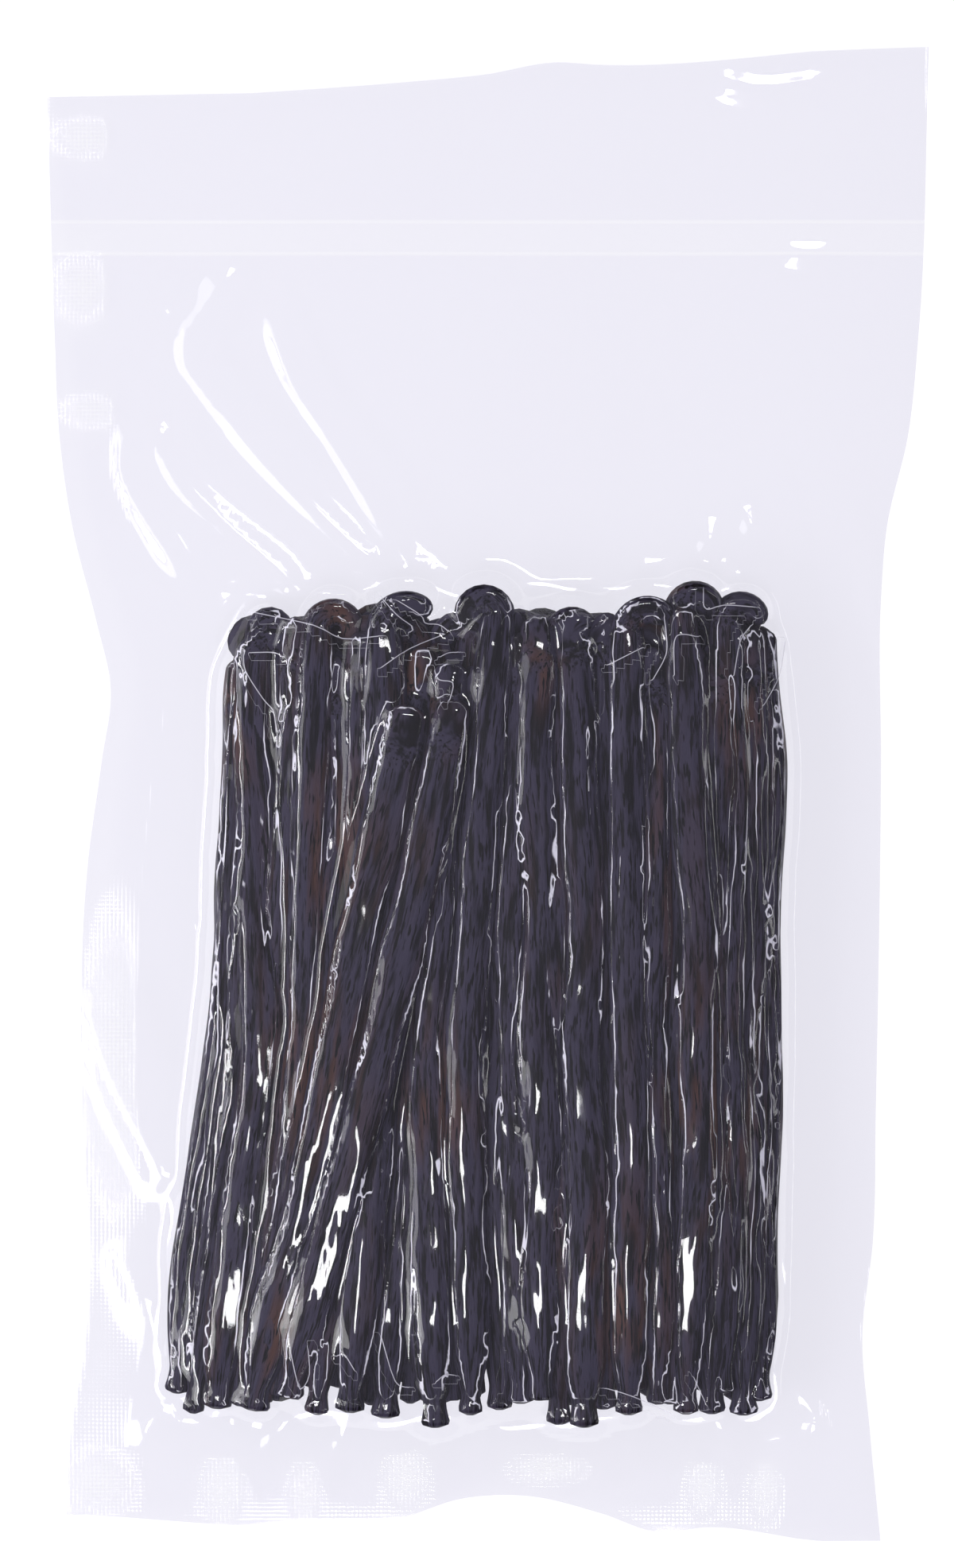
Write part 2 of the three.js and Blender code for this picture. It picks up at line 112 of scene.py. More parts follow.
# Cells of the film's mesh, beside and across the pods, and above, over and below them
SIDE_CELLS = 22
ACROSS_CELLS = 236
MOUTH_CELLS = 96
POD_CELLS = 210
FOOT_CELLS = 26
SIDE_MARGIN = 4.0
END_MARGIN = 6.0

# Seals: embossed bands along the sides and foot, and the band that closes the mouth
SIDE_SEAL_WIDTH = 9.5
FOOT_SEAL_WIDTH = 12.0
MOUTH_SEAL_Y = 94.5
MOUTH_SEAL_WIDTH = 5.5
LIP_GAP = 0.5

# Pods that show in front: where the neck of the head is (x, y), where the pod passes half way
# down, where its foot ends (x, y), its breadth, its rank (higher lies on top), and how its tip
# curls: degrees, anticlockwise when positive, and radius
MIDDLE_Y = -35.0
FRONT_PODS = [
    (-41.2, 23.0, -44.4, -52.8, -101.5, 6.8, -1, 0, 0),
    (-38.4, 27.6, -41.4, -50.0, -104.9, 6.8, 0, -330, 1.7),
    (-40.4, 21.5, -38.4, -46.0, -104.0, 7.6, 1, -160, 4.2),
    (-32.2, 27.0, -34.8, -42.0, -103.6, 6.8, -1, -60, 2.2),
    (-29.0, 27.6, -30.8, -38.5, -103.2, 7.0, 1, -230, 3.3),
    (-25.5, 23.0, -27.6, -35.5, -101.5, 6.4, -1, 0, 0),
    (-20.8, 25.4, -21.2, -29.1, -104.9, 7.0, 0, -30, 2.4),
    (-17.8, 27.6, -17.6, -23.4, -104.5, 7.4, 1, -150, 4.4),
    (-11.0, 24.5, -13.2, -17.4, -105.5, 6.8, -1, 0, 0),
    (-6.2, 22.0, -9.6, -8.9, -107.0, 7.6, 1, 0, 0),
    (-1.8, 21.5, -6.2, -6.6, -102.5, 6.6, -1, 0, 0),
    (1.6, 29.9, -2.6, -3.0, -104.9, 7.2, 1, 300, 2.6),
    (3.6, 31.0, 1.2, 1.9, -104.1, 6.6, -1, 0, 0),
    (5.6, 27.0, 4.6, 5.5, -103.0, 6.8, 0, 0, 0),
    (8.2, 28.5, 8.3, 8.9, -101.8, 7.4, 1, 30, 2.0),
    (12.0, 26.8, 11.4, 12.0, -106.6, 7.0, 0, -240, 2.5),
    (14.4, 26.2, 15.8, 16.3, -107.0, 7.4, 1, -120, 2.2),
    (18.6, 25.4, 19.4, 19.5, -104.0, 6.8, -1, -100, 3.0),
    (23.3, 27.3, 23.4, 23.7, -104.9, 7.4, 1, -160, 3.9),
    (27.7, 24.6, 27.6, 28.8, -103.2, 6.8, 0, 0, 0),
    (32.4, 30.6, 34.6, 33.4, -104.9, 7.6, 1, -215, 2.8),
    (35.2, 24.6, 31.0, 31.0, -103.2, 6.6, -1, 0, 0),
    (38.4, 25.4, 38.0, 37.8, -104.9, 7.0, 0, 0, 0),
    (40.3, 29.0, 40.6, 39.8, -101.2, 7.0, 1, -195, 2.7),
    (43.8, 25.9, 43.4, 43.2, -105.2, 7.4, 0, 40, 2.4),
    (46.4, 26.4, 46.4, 45.6, -102.8, 6.8, -1, -40, 2.0),
]
TOP_PODS = [
    (-13.4, 14.8, -23.6, -40.0, -104.2, 8.0, 2, 0, 0),
    (-5.4, 15.8, -16.4, -33.8, -101.8, 8.0, 2, 0, 0),
]
MIDDLE_POD_COUNT = 17
BACK_POD_COUNT = 19
POD_THICKNESS = 4.6
RANK_HEIGHTS = {-1: -0.85, 0: -0.15, 1: 0.5}
TOP_POD_LIFT = 2.2
MIDDLE_POD_DROP = 2.9
BACK_RANK_LIFT = 0.3
FRONT_RINGS = 86
FRONT_SIDES = 40
MIDDLE_RINGS = 60
MIDDLE_SIDES = 28
BACK_RINGS = 60
BACK_SIDES = 24

# Rounding of a pod's two ends, in mm along it
FOOT_CAP_LENGTH = 0.7
HEAD_CAP_LENGTH = 2.1

# How a pod varies along its length: mm between turns, and how much
SWAY = (21, 0.8)
HEAVE = (17, 0.35)
BREADTH_CHANGE = (11, 0.1)
THICKNESS_CHANGE = (10, 0.1)
ROLL = (22, 0.35)
WRINKLE_DRIFT = (16, 1.5)
WRINKLE_SWELL = (9, 0.35)
LUMPS = (6, 0.12)

# Pods placed by rule: how far inside the bundle's sides and its top they stay
RULED_SIDE_INSET = 3.6
RULED_TOP_INSET = 4.2

# Core under the pods: how far inside the bundle it stays, its rim, and its share of the height
CORE_INSET = 2.8
CORE_RIM = 0.5
CORE_SHARE = 0.86
CORE_COLUMNS = 60
CORE_ROWS = 30


# Numbers

def smooth_through(points):
    """A smooth function through (at, value) points, level beyond both ends."""
    at, value = np.array(sorted(points), float).T
    slope = np.gradient(value, at)

    def curve(where):
        where = np.clip(where, at[0], at[-1])
        index = np.clip(np.searchsorted(at, where) - 1, 0, len(at) - 2)
        span = at[index + 1] - at[index]
        part = (where - at[index]) / span
        rise = 3 * part ** 2 - 2 * part ** 3
        start_bend = (part ** 3 - 2 * part ** 2 + part) * span * slope[index]
        end_bend = (part ** 3 - part ** 2) * span * slope[index + 1]
        return (1 - rise) * value[index] + rise * value[index + 1] + start_bend + end_bend

    return curve


def smooth_step(low, high, value):
    part = np.clip((value - low) / (high - low), 0, 1)
    return part * part * (3 - 2 * part)


def wander(rng, length, step, amount):
    """A smooth random function over a length, between minus and plus the amount."""
    knots = np.arange(-step, length + 2 * step, step)
    return smooth_through(list(zip(knots, rng.uniform(-amount, amount, len(knots)))))


# Form of the bundle and the flange

def bundle_sides(y):
    down = (BUNDLE_TOP_Y - y) / (BUNDLE_TOP_Y - BUNDLE_FOOT_Y)
    left = BUNDLE_TOP_X[0] + (BUNDLE_FOOT_X[0] - BUNDLE_TOP_X[0]) * down
    right = BUNDLE_TOP_X[1] + (BUNDLE_FOOT_X[1] - BUNDLE_TOP_X[1]) * down
    return left, right


def fullness(x, y):
    left, right = bundle_sides(y)
    middle_y = (BUNDLE_TOP_Y + BUNDLE_FOOT_Y) / 2
    across = np.minimum(np.abs((2 * x - left - right) / (right - left)), 1)
    along = np.minimum(np.abs((y - middle_y) / (BUNDLE_TOP_Y - middle_y)), 1)
    return (1 - across ** SIDE_ROUNDNESS) * (1 - END_FALL * along ** END_ROUNDNESS)


def front_height(x, y):
    return SEAM_HEIGHT + FRONT_RISE * fullness(x, y)


def back_height(x, y):
    return SEAM_HEIGHT - BACK_DROP * fullness(x, y)


def outside_bundle(x, y):
    """Millimetres outside the bundle's outline, less than zero inside it."""
    left, right = bundle_sides(np.clip(y, BUNDLE_FOOT_Y, BUNDLE_TOP_Y))
    sideways = np.maximum(left - x, x - right)
    lengthways = np.maximum(BUNDLE_FOOT_Y - y, y - BUNDLE_TOP_Y)
    corner = np.hypot(np.maximum(sideways, 0), np.maximum(lengthways, 0))
    return np.where(corner > 0, corner, np.maximum(sideways, lengthways))


# Folds of the flange: points along each crest, its half width, and its height as a share of that,
# and how long a fold's ends are
FOLDS = [
    ([(-42, 91.2), (-46.3, 84.5), (-50.3, 77.1), (-50.3, 73.1), (-48.6, 70.6), (-39.6, 58.9),
      (-28.4, 47.2), (-21.7, 41), (-17.1, 37.1)], 2.3, 0.72),
    ([(-38.6, 86.0), (-32.8, 70.6), (-26.1, 60.3), (-19.4, 49.1), (-14.9, 40.1),
      (-14.3, 38.5)], 2.1, 0.68),
    ([(-14.9, 39.4), (-12.6, 38.9), (-9.6, 37.1), (-6.9, 33.4)], 1.6, 0.68),
    ([(-59.7, 65.2), (-61.5, 58), (-60.7, 52.6), (-55.3, 43.2), (-49.4, 35.1)], 2.1, 0.68),
    ([(-57.4, 64.3), (-55.7, 60.3), (-51.7, 52.6), (-44, 45.1), (-38.6, 40.5), (-35.1, 37.4),
      (-32.4, 34.3), (-27, 33)], 2.0, 0.68),
    ([(-49.4, 35.4), (-46, 35), (-40.1, 35.2)], 1.6, 0.68),
    ([(38.1, 48.4), (37.5, 42.8), (36.1, 37.5)], 1.9, 0.68),
    ([(40.5, 49.2), (44.1, 46.8), (44.5, 43.6), (42.5, 39.6), (40.1, 34.7)], 1.5, 0.68),
    ([(46.5, 40.8), (44.1, 37.9), (40.5, 35.1)], 1.5, 0.68),
    ([(23.1, 32.3), (23.9, 35.1), (25.6, 37.5), (26.8, 38.6)], 1.3, 0.7),
    ([(28.9, 39), (29.6, 37.4), (30.4, 34.7)], 1.3, 0.7),
    ([(35.5, 122.8), (41, 120.4), (47.2, 119.4), (54, 120.2), (61, 122.4)], 2.3, 0.465),
    ([(46, 92.8), (54, 91.6), (63, 92.4)], 1.9, 0.465),
    ([(-58, 88), (-55, 84), (-53, 80)], 3.0, 0.62),
    ([(-5, 58), (-2, 47), (0, 36)], 3.6, 0.11),
    ([(17, 72), (14, 55), (10, 38)], 5.0, 0.08),
    ([(60, 62), (56, 48), (52, 34)], 3.8, 0.13),
    ([(-54, -18), (-50, -21), (-47.5, -22)], 1.8, 0.68),
    ([(-68, -30), (-64, -46), (-57, -60), (-53, -68)], 3.6, 0.5),
    ([(-64, -74), (-60, -82), (-57, -92)], 3.2, 0.42),
    ([(-57, -104), (-58.5, -109), (-56.5, -113)], 1.3, 0.7),
    ([(-41, -103), (-43.5, -107), (-42.5, -112)], 1.3, 0.7),
    ([(-32, -104), (-36, -109), (-39, -113)], 1.3, 0.7),
    ([(-23, -106), (-25, -110), (-25, -116)], 1.3, 0.7),
    ([(37, -101), (41, -110), (48, -112), (56, -108), (53, -100)], 1.5, 0.7),
    ([(58, -70), (62, -84), (58, -98)], 3.0, 0.2),
]
FOLD_END = 7.0


def folds_at(x, y):
    """Height of the folds. The end of a crest is left a little higher than its start."""
    height = np.zeros_like(x)
    for crest, half_width, steepness in FOLDS:
        line = smooth_line(crest, 5)
        near = near_line(line, x, y, 3 * half_width)
        signed, along_share = line_distance(line, x[near], y[near])
        length = np.hypot(*np.diff(line, axis=0).T).sum()
        fade = smooth_step(0, FOLD_END, along_share * length)
        fade *= 0.3 + 0.7 * smooth_step(0, FOLD_END, (1 - along_share) * length)
        height[near] += steepness * half_width * fade * np.exp(-(signed / half_width) ** 2)
    return height


# Sharp creases where the taut film bridges the pods' heads and feet
CREASES = [
    [(-40.0, 30.7), (-29.5, 28.4), (-24.5, 26.1), (-18.4, 26.5)],
    [(-17.8, 21.3), (-13.2, 24.4), (-7.1, 27.0)],
    [(-17.8, 32.8), (-15.3, 30.0), (-12.6, 28.0), (-13.2, 27.2)],
    [(-15.1, 32.4), (-11.3, 30.0), (-10.6, 28.7), (-8.3, 28.5), (-6.6, 27.3)],
    [(-40.0, 23.8), (-36.2, 23.8), (-34.6, 23.0)],
    [(-41.3, 23.3), (-40.9, 20.6), (-37.9, 15.9), (-36.2, 13.9), (-35.7, 10.5)],
    [(-8.1, 23.0), (-6.7, 23.7), (-5.2, 23.8)],
    [(-9.0, 20.6), (-8.3, 19.1), (-5.9, 18.6), (-6.5, 15.6)],
    [(20.3, 21.7), (25.8, 24.5)],
    [(36.3, 34.2), (36.6, 31.1), (39.8, 31.8), (44.8, 31.5)],
    [(31.3, 19.9), (31.3, 25.7), (32.7, 26.8), (35.2, 26.4)],
    [(29.6, 30.0), (30.0, 26.6), (29.9, 23.3), (27.7, 19.2)],
    [(44.4, 28.4), (42.5, 25.7), (41.4, 19.9)],
    [(50.2, 25.3), (49.2, 19.9), (46.5, 14.9)],
    [(-33.4, -93.1), (-32.2, -98.9), (-31.5, -100.4), (-30.1, -97.8), (-30.3, -93.1)],
    [(-25.2, -94.4), (-24.1, -94.3), (-22.5, -96.9)],
    [(-8.7, -98.9), (-7.3, -97.7), (-5.9, -97.8)],
    [(-17.9, -91.5), (-15.7, -98.9), (-13.7, -100.1)],
    [(19.9, -100.2), (24.4, -101.6), (30.4, -104.5)],
    [(34.7, -98.5), (36.7, -102.9)],
]
CREASE_HEIGHT = 0.32
CREASE_HALF_WIDTH = 0.5


def smooth_line(points, pieces):
    """A smooth curve through points, as so many pieces between each two."""
    last = len(points) - 1
    fine = np.linspace(0, last, last * pieces + 1)
    return np.stack([smooth_through(list(enumerate(axis)))(fine) for axis in zip(*points)], 1)


def near_line(line, x, y, reach):
    """Which places lie in the line's box, widened by the reach."""
    (low_x, low_y), (high_x, high_y) = line.min(0) - reach, line.max(0) + reach
    return (x > low_x) & (x < high_x) & (y > low_y) & (y < high_y)


def line_distance(line, x, y):
    """Distance to a line through points, less than zero on its right, and the share along it."""
    nearest = np.full_like(x, np.inf)
    signed, along_share = np.zeros_like(x), np.zeros_like(x)
    count = len(line) - 1
    for index, (start, end) in enumerate(zip(line[:-1], line[1:])):
        run_x, run_y = end[0] - start[0], end[1] - start[1]
        part = ((x - start[0]) * run_x + (y - start[1]) * run_y) / (run_x ** 2 + run_y ** 2)
        part = np.clip(part, 0, 1)
        off_x, off_y = x - start[0] - part * run_x, y - start[1] - part * run_y
        away = np.hypot(off_x, off_y)
        closer = away < nearest
        nearest = np.where(closer, away, nearest)
        signed = np.where(closer, np.where(run_x * off_y - run_y * off_x < 0, -away, away), signed)
        along_share = np.where(closer, (index + part) / count, along_share)
    return signed, along_share


def creases_at(x, y):
    """Height of the creases, and the signed distance to the nearest one."""
    height, nearest = np.zeros_like(x), np.full_like(x, LINE_REACH)
    for crease in CREASES:
        line = smooth_line(crease, 3)
        near = near_line(line, x, y, 4 * CREASE_HALF_WIDTH)
        signed, along_share = line_distance(line, x[near], y[near])
        fade = np.clip(6 * np.minimum(along_share, 1 - along_share), 0.2, 1)
        ridge = CREASE_HEIGHT * fade * np.exp(-(signed / CREASE_HALF_WIDTH) ** 2)
        height[near] = np.maximum(height[near], ridge)
        nearest[near] = np.where(np.abs(signed) < np.abs(nearest[near]), signed, nearest[near])
    return height, nearest


# Slow ripples of the free film: height, length in mm, and direction in degrees
RIPPLES = [(0.30, 61, 31), (0.16, 37, -24), (0.05, 19, 68)]


def sheet_height(x, y):
    """Middle height of the two sheets outside the bundle."""
    away = np.maximum(outside_bundle(x, y), 0)
    sunk = (SEAM_HEIGHT - FLANGE_EDGE_HEIGHT) / (1 + (away / FLANGE_DROP_LENGTH) ** 2)
    ripple = np.zeros_like(x)
    for height, length, degrees in RIPPLES:
        turned = x * math.cos(math.radians(degrees)) + y * math.sin(math.radians(degrees))
        ripple += height * (1 + np.sin(2 * math.pi * turned / length + length))
    free = smooth_step(0, 40, away)
    return FLANGE_EDGE_HEIGHT + sunk + ripple * free + folds_at(x, y) * smooth_step(0, 4, away)


# Pods

# Half breadth of a pod as a share of its full size: by distance from its foot, and by distance
# past its neck, where less than zero is still the body
FOOT_SHARE = smooth_through([
    (0, 0.53), (0.9, 0.63), (2.2, 0.56), (4, 0.50), (7, 0.66), (11, 0.88), (17, 1),
])
NECK_SHARE = smooth_through([
    (-30, 1), (-17, 1), (-8, 0.94), (0, 0.78), (6, 0.66), (12, 0.6), (20, 0.5),
])

# Lengthwise wrinkles: how many run round a pod, and their height
WRINKLES = [(5, 0.07), (8, 0.075), (11, 0.065), (14, 0.05)]


def pod_path(pod, height_at, rank_lift, rng):
    """Centres of a pod, foot first, closely spaced, and the length of its body."""
    neck_x, neck_y, middle_x, foot_x, foot_y, _, _, degrees, radius = pod
    way = smooth_through([(foot_y, foot_x), (MIDDLE_Y, middle_x), (neck_y, neck_x)])
    sway = wander(rng, neck_y - foot_y, *SWAY)
    heave = wander(rng, neck_y - foot_y, *HEAVE)
    y = np.linspace(foot_y, neck_y, 260)
    x = way(y) + sway(y - foot_y) * np.sin(math.pi * (y - foot_y) / (neck_y - foot_y))
    z = height_at(x, y) + rank_lift(x, y) + heave(y - foot_y)
    body = np.stack([x, y, z], 1)
    length = np.linalg.norm(np.diff(body, axis=0), axis=1).sum()
    if not degrees:
        return body, length
    heading = math.atan2(y[-1] - y[-8], x[-1] - x[-8])
    turn = np.radians(np.linspace(0, degrees, 80)[1:])
    tighter = radius * (1 - 0.25 * np.abs(turn) / (2 * math.pi))
    steps = np.abs(np.diff(np.concatenate([[0], turn]))) * tighter
    curl_x = x[-1] + np.cumsum(steps * np.cos(heading + turn))
    curl_y = y[-1] + np.cumsum(steps * np.sin(heading + turn))
    droop = -0.9 * np.linspace(0, 1, len(turn)) ** 1.5
    curl = np.stack([curl_x, curl_y, z[-1] + droop], 1)
    return np.concatenate([body, curl]), length


def ring_stations(length, body_length, count):
    """Distances along a pod, close together at its foot and past its neck."""
    fine = np.linspace(0, length, 2000)
    density = 0.5 + 1.4 * np.exp(-fine / 4) + 1.1 * smooth_step(body_length - 9, body_length - 2, fine)
    density += 1.2 * np.exp(-(length - fine) / 2.0)
    total = np.cumsum(density)
    return np.interp(np.linspace(total[0], total[-1], count), total, fine)


def round_end(share, least):
    """Size of a rounded end by the share of its length, from a small flat face to full size."""
    return np.sqrt(np.clip(1 - (1 - np.clip(share, 0, 1)) ** 2, least, 1))


def pod_surface(pod, height_at, rank_lift, rings, sides, rng):
    """Points of one pod as an array of rings, and the distance of each ring from its foot."""
    path, body_length = pod_path(pod, height_at, rank_lift, rng)
    steps = np.concatenate([[0], np.cumsum(np.linalg.norm(np.diff(path, axis=0), axis=1))])
    length = steps[-1]
    at = ring_stations(length, body_length, rings)
    centre = np.stack([np.interp(at, steps, path[:, axis]) for axis in range(3)], 1)
    ahead = np.stack([np.interp(at + 0.4, steps, path[:, axis]) for axis in range(3)], 1)
    behind = np.stack([np.interp(at - 0.4, steps, path[:, axis]) for axis in range(3)], 1)
    along = ahead - behind
    along /= np.linalg.norm(along, axis=1, keepdims=True)
    across = np.cross(along, [0, 0, 1.0])
    across /= np.linalg.norm(across, axis=1, keepdims=True)
    over = np.cross(across, along)

    foot_share = FOOT_SHARE(at)
    foot_share = foot_share * (1 + rng.uniform(-0.12, 0.22) * (1 - foot_share) * 2)
    share = foot_share * NECK_SHARE(at - body_length)
    cap = round_end(at / FOOT_CAP_LENGTH, 0.12) * round_end((length - at) / HEAD_CAP_LENGTH, 0.04)
    width = pod[5] / 2 * share * cap * (1 + wander(rng, length, *BREADTH_CHANGE)(at))
    thinned = share ** 0.72 * cap * (1 + wander(rng, length, *THICKNESS_CHANGE)(at))
    height = POD_THICKNESS / 2 * thinned

    angle = np.linspace(0, 2 * math.pi, sides, endpoint=False)[None, :]
    roll = wander(rng, length, *ROLL)(at)[:, None]
    relief = np.zeros((rings, sides))
    for waves, amount in WRINKLES:
        drift = wander(rng, length, *WRINKLE_DRIFT)(at)[:, None]
        swell = 0.65 + wander(rng, length, *WRINKLE_SWELL)(at)[:, None]
        relief += amount * swell * np.cos(waves * angle + drift + rng.uniform(0, 2 * math.pi))
    for waves in (2, 3):
        lump = wander(rng, length, *LUMPS)(at)[:, None]
        relief += lump * np.cos(waves * angle + rng.uniform(0, 2 * math.pi))
    relief *= (share * cap)[:, None]
    u = (width[:, None] + relief) * np.sign(np.cos(angle)) * np.abs(np.cos(angle)) ** 0.9
    v = (height[:, None] + relief) * np.sign(np.sin(angle)) * np.abs(np.sin(angle)) ** 0.75
    u, v = u * np.cos(roll) - v * np.sin(roll) * 0.6, v * np.cos(roll) + u * np.sin(roll) * 0.25
    points = centre[:, None, :] + u[..., None] * across[:, None, :] + v[..., None] * over[:, None, :]
    return points, at


def front_lift(pod):
    """How a front pod lies above or below the others, by its rank."""
    rank = pod[6]

    def lift(x, y):
        return RANK_HEIGHTS[rank] * np.minimum(fullness(x, y) * 1.6, 1)
    return lift


def top_lift(pod):
    """How a slanting pod lies over the others, lower towards its foot."""
    neck_y, foot_y = pod[1], pod[4]

    def lift(x, y):
        down = np.clip((neck_y - y) / (neck_y - foot_y), 0, 1)
        return TOP_POD_LIFT * (1 - 0.75 * smooth_step(0.62, 1, down)) - 0.5 * smooth_step(0.06, 0, down)
    return lift


def level_lift(lift):
    """The same lift all along a pod."""
    return lambda x, y: lift + 0 * x


def flattened(points, at):
    """A pod of the underside, pressed flat where it meets the film on the floor."""
    floor = FLOOR_CLEARANCE + POD_CLEARANCE + 0.02
    z = points[..., 2]
    points[..., 2] = np.where(z < floor, floor + 0.02 * (z - floor) / POD_THICKNESS, z)
    return points, at


def ruled_pods(count, rng):
    """Pods side by side by a rule, for the middle and the underside."""
    pods = []
    for index in range(count):
        share = (index + 0.5) / count
        foot_y = BUNDLE_FOOT_Y + rng.uniform(-2, 3)
        neck_y = BUNDLE_TOP_Y - RULED_TOP_INSET + rng.uniform(-2, 1)
        places = []
        for y in (neck_y, MIDDLE_Y, foot_y):
            left, right = bundle_sides(y)
            room = right - left - 2 * RULED_SIDE_INSET
            places.append(left + RULED_SIDE_INSET + share * room + rng.uniform(-1, 1))
        degrees = rng.choice([0, 0, -200, 180, -120, 250])
        pods.append((places[0], neck_y, places[1], places[2], foot_y, rng.uniform(6.2, 7.6),
                     (index % 2) * 2 - 1, degrees, rng.uniform(2.2, 3.2)))
    return pods


def make_pods():
    """Surfaces of all pods: front and top ones, those under them, and those of the underside."""
    rng = np.random.default_rng(SEED)
    front = [pod_surface(pod, front_height, front_lift(pod), FRONT_RINGS, FRONT_SIDES, rng)
             for pod in FRONT_PODS]
    front += [pod_surface(pod, front_height, top_lift(pod), FRONT_RINGS, FRONT_SIDES, rng)
              for pod in TOP_PODS]
    middle = [pod_surface(pod, front_height, level_lift(-MIDDLE_POD_DROP), MIDDLE_RINGS,
                          MIDDLE_SIDES, rng)
              for pod in ruled_pods(MIDDLE_POD_COUNT, rng)]
    back = [flattened(*pod_surface(pod, back_height, level_lift(BACK_RANK_LIFT * pod[6]), BACK_RINGS,
                                   BACK_SIDES, rng))
            for pod in ruled_pods(BACK_POD_COUNT, rng)]
    return front, middle, back


# Meshes

def new_object(name, points, faces, smooth=True):
    mesh = bpy.data.meshes.new(name)
    mesh.from_pydata((np.asarray(points) * MM).tolist(), [], faces)
    mesh.validate()
    if smooth:
        mesh.shade_smooth()
    piece = bpy.data.objects.new(name, mesh)
    bpy.context.scene.collection.objects.link(piece)
    return piece


# Where the pods are browner: x, y and reach
BROWN_PLACES = [
    (-24.8, 31.5, 4.0), (28.5, 31.0, 4.5), (-43.0, 12.0, 5.0), (-12.5, 19.5, 4.0), (-27.0, -12.0, 8.0),
    (-30.0, -45.0, 9.0), (23.0, -84.0, 8.0), (38.0, -52.0, 10.0), (-9.0, -52.0, 6.0), (9.0, 21.0, 3.0),
    (44.5, 12.0, 6.0), (-36.0, -92.0, 5.0),
]


def brown_share(points):
    share = np.zeros(len(points))
    for x, y, reach in BROWN_PLACES:
        away = np.hypot(points[:, 0] - x, (points[:, 1] - y) / 2)
        share = np.maximum(share, np.exp(-(away / reach) ** 2))
    return share


# Streaks of the skin: mm along a pod that count as one unit, and how much broader they are on its
# head, between so many mm from its tip
STREAK_LENGTH = 25
HEAD_STREAK_CUT = 0.75
HEAD_STREAK_PLACE = (11, 5)

# How brown a pod is: the middle value, its spread, and its change along the pod
BROWN_MIDDLE = -0.05
BROWN_SPREAD = 0.2
BROWN_CHANGE = (30, 0.3)


def joined_pods(name, surfaces, rng):
    """One mesh of many pods, with a run coordinate and a tone for the material."""
    points, faces, runs, tones = [], [], [], []
    start = 0
    for surface, at in surfaces:
        rings, sides, _ = surface.shape
        points.append(surface.reshape(-1, 3))
        ring, side = np.meshgrid(np.arange(rings - 1), np.arange(sides), indexing="ij")
        here = start + ring * sides + side
        beside = start + ring * sides + (side + 1) % sides
        quads = np.stack([here, here + sides, beside + sides, beside], -1).reshape(-1, 4)
        faces += quads.tolist()
        faces.append([start + side for side in range(sides)])
        faces.append([start + (rings - 1) * sides + side for side in reversed(range(sides))])
        angle = 2 * math.pi * np.tile(np.arange(sides) / sides, (rings, 1))
        offset = rng.uniform(0, 40)
        head_start, head_full = (at[-1] - place for place in HEAD_STREAK_PLACE)
        reach = (1 - HEAD_STREAK_CUT * smooth_step(head_start, head_full, at))[:, None]
        runs.append(np.stack([reach * np.cos(angle) + offset, reach * np.sin(angle),
                              np.repeat(at[:, None], sides, 1) / STREAK_LENGTH], -1).reshape(-1, 3))
        brown = rng.normal(BROWN_MIDDLE, BROWN_SPREAD) + wander(rng, at[-1], *BROWN_CHANGE)(at)
        brown = np.clip(brown, 0, 1)
        tones.append(np.maximum(np.repeat(brown, sides), brown_share(points[-1])))
        start += rings * sides
    piece = new_object(name, np.concatenate(points), faces)
    run = piece.data.attributes.new("run", "FLOAT_VECTOR", "POINT")
    run.data.foreach_set("vector", np.concatenate(runs).ravel().astype(np.float32))
    tone = piece.data.attributes.new("tone", "FLOAT", "POINT")
    tone.data.foreach_set("value", np.concatenate(tones).astype(np.float32))
    return piece


def core_surface():
    """The hidden pods of the middle, as the two lumpy faces of a plate."""
    row, column = np.meshgrid(np.linspace(0, 1, CORE_ROWS + 1), np.linspace(0, 1, CORE_COLUMNS + 1),
                              indexing="ij")
    y = BUNDLE_TOP_Y - 2.5 * CORE_INSET + row * (BUNDLE_FOOT_Y - BUNDLE_TOP_Y + 5 * CORE_INSET)
    left, right = bundle_sides(y)
    x = left + CORE_INSET + column * (right - left - 2 * CORE_INSET)
    bumps = 0.25 * np.sin(x * 1.9 + 0.04 * y) + 0.15 * np.sin(0.31 * y + x)
    full = CORE_SHARE * fullness(x, y)
    high = SEAM_HEIGHT + CORE_RIM + FRONT_RISE * full + bumps - 0.4
    low = SEAM_HEIGHT - CORE_RIM - BACK_DROP * full + 0.2 * bumps + 0.2
    return np.stack([x, y, low], -1), np.stack([x, y, high], -1)


def plate_faces(rows, columns, first_low, first_high):
    """Faces of two grids with the same places, joined round their rim."""
    around = [(0, 0), (1, 0), (1, 1), (0, 1)]

    def corner(first, row, column):
        return first + row * (columns + 1) + column

    faces = []
    for row in range(rows):
        for column in range(columns):
            square = [(row + down, column + over) for down, over in around]
            faces.append([corner(first_high, *place) for place in square])
            faces.append([corner(first_low, *place) for place in square[::-1]])
    rim = [(0, column) for column in range(columns)]
    rim += [(row, columns) for row in range(rows)]
    rim += [(rows, column) for column in range(columns, 0, -1)]
    rim += [(row, 0) for row in range(rows, 0, -1)]
    for here, there in zip(rim, rim[1:] + rim[:1]):
        faces.append([corner(first_low, *here), corner(first_high, *here),
                      corner(first_high, *there), corner(first_low, *there)])
    return faces


def make_core():
    points = np.concatenate([face.reshape(-1, 3) for face in core_surface()])
    return new_object("pods_core", points, plate_faces(CORE_ROWS, CORE_COLUMNS, 0, len(points) // 2))


# Film

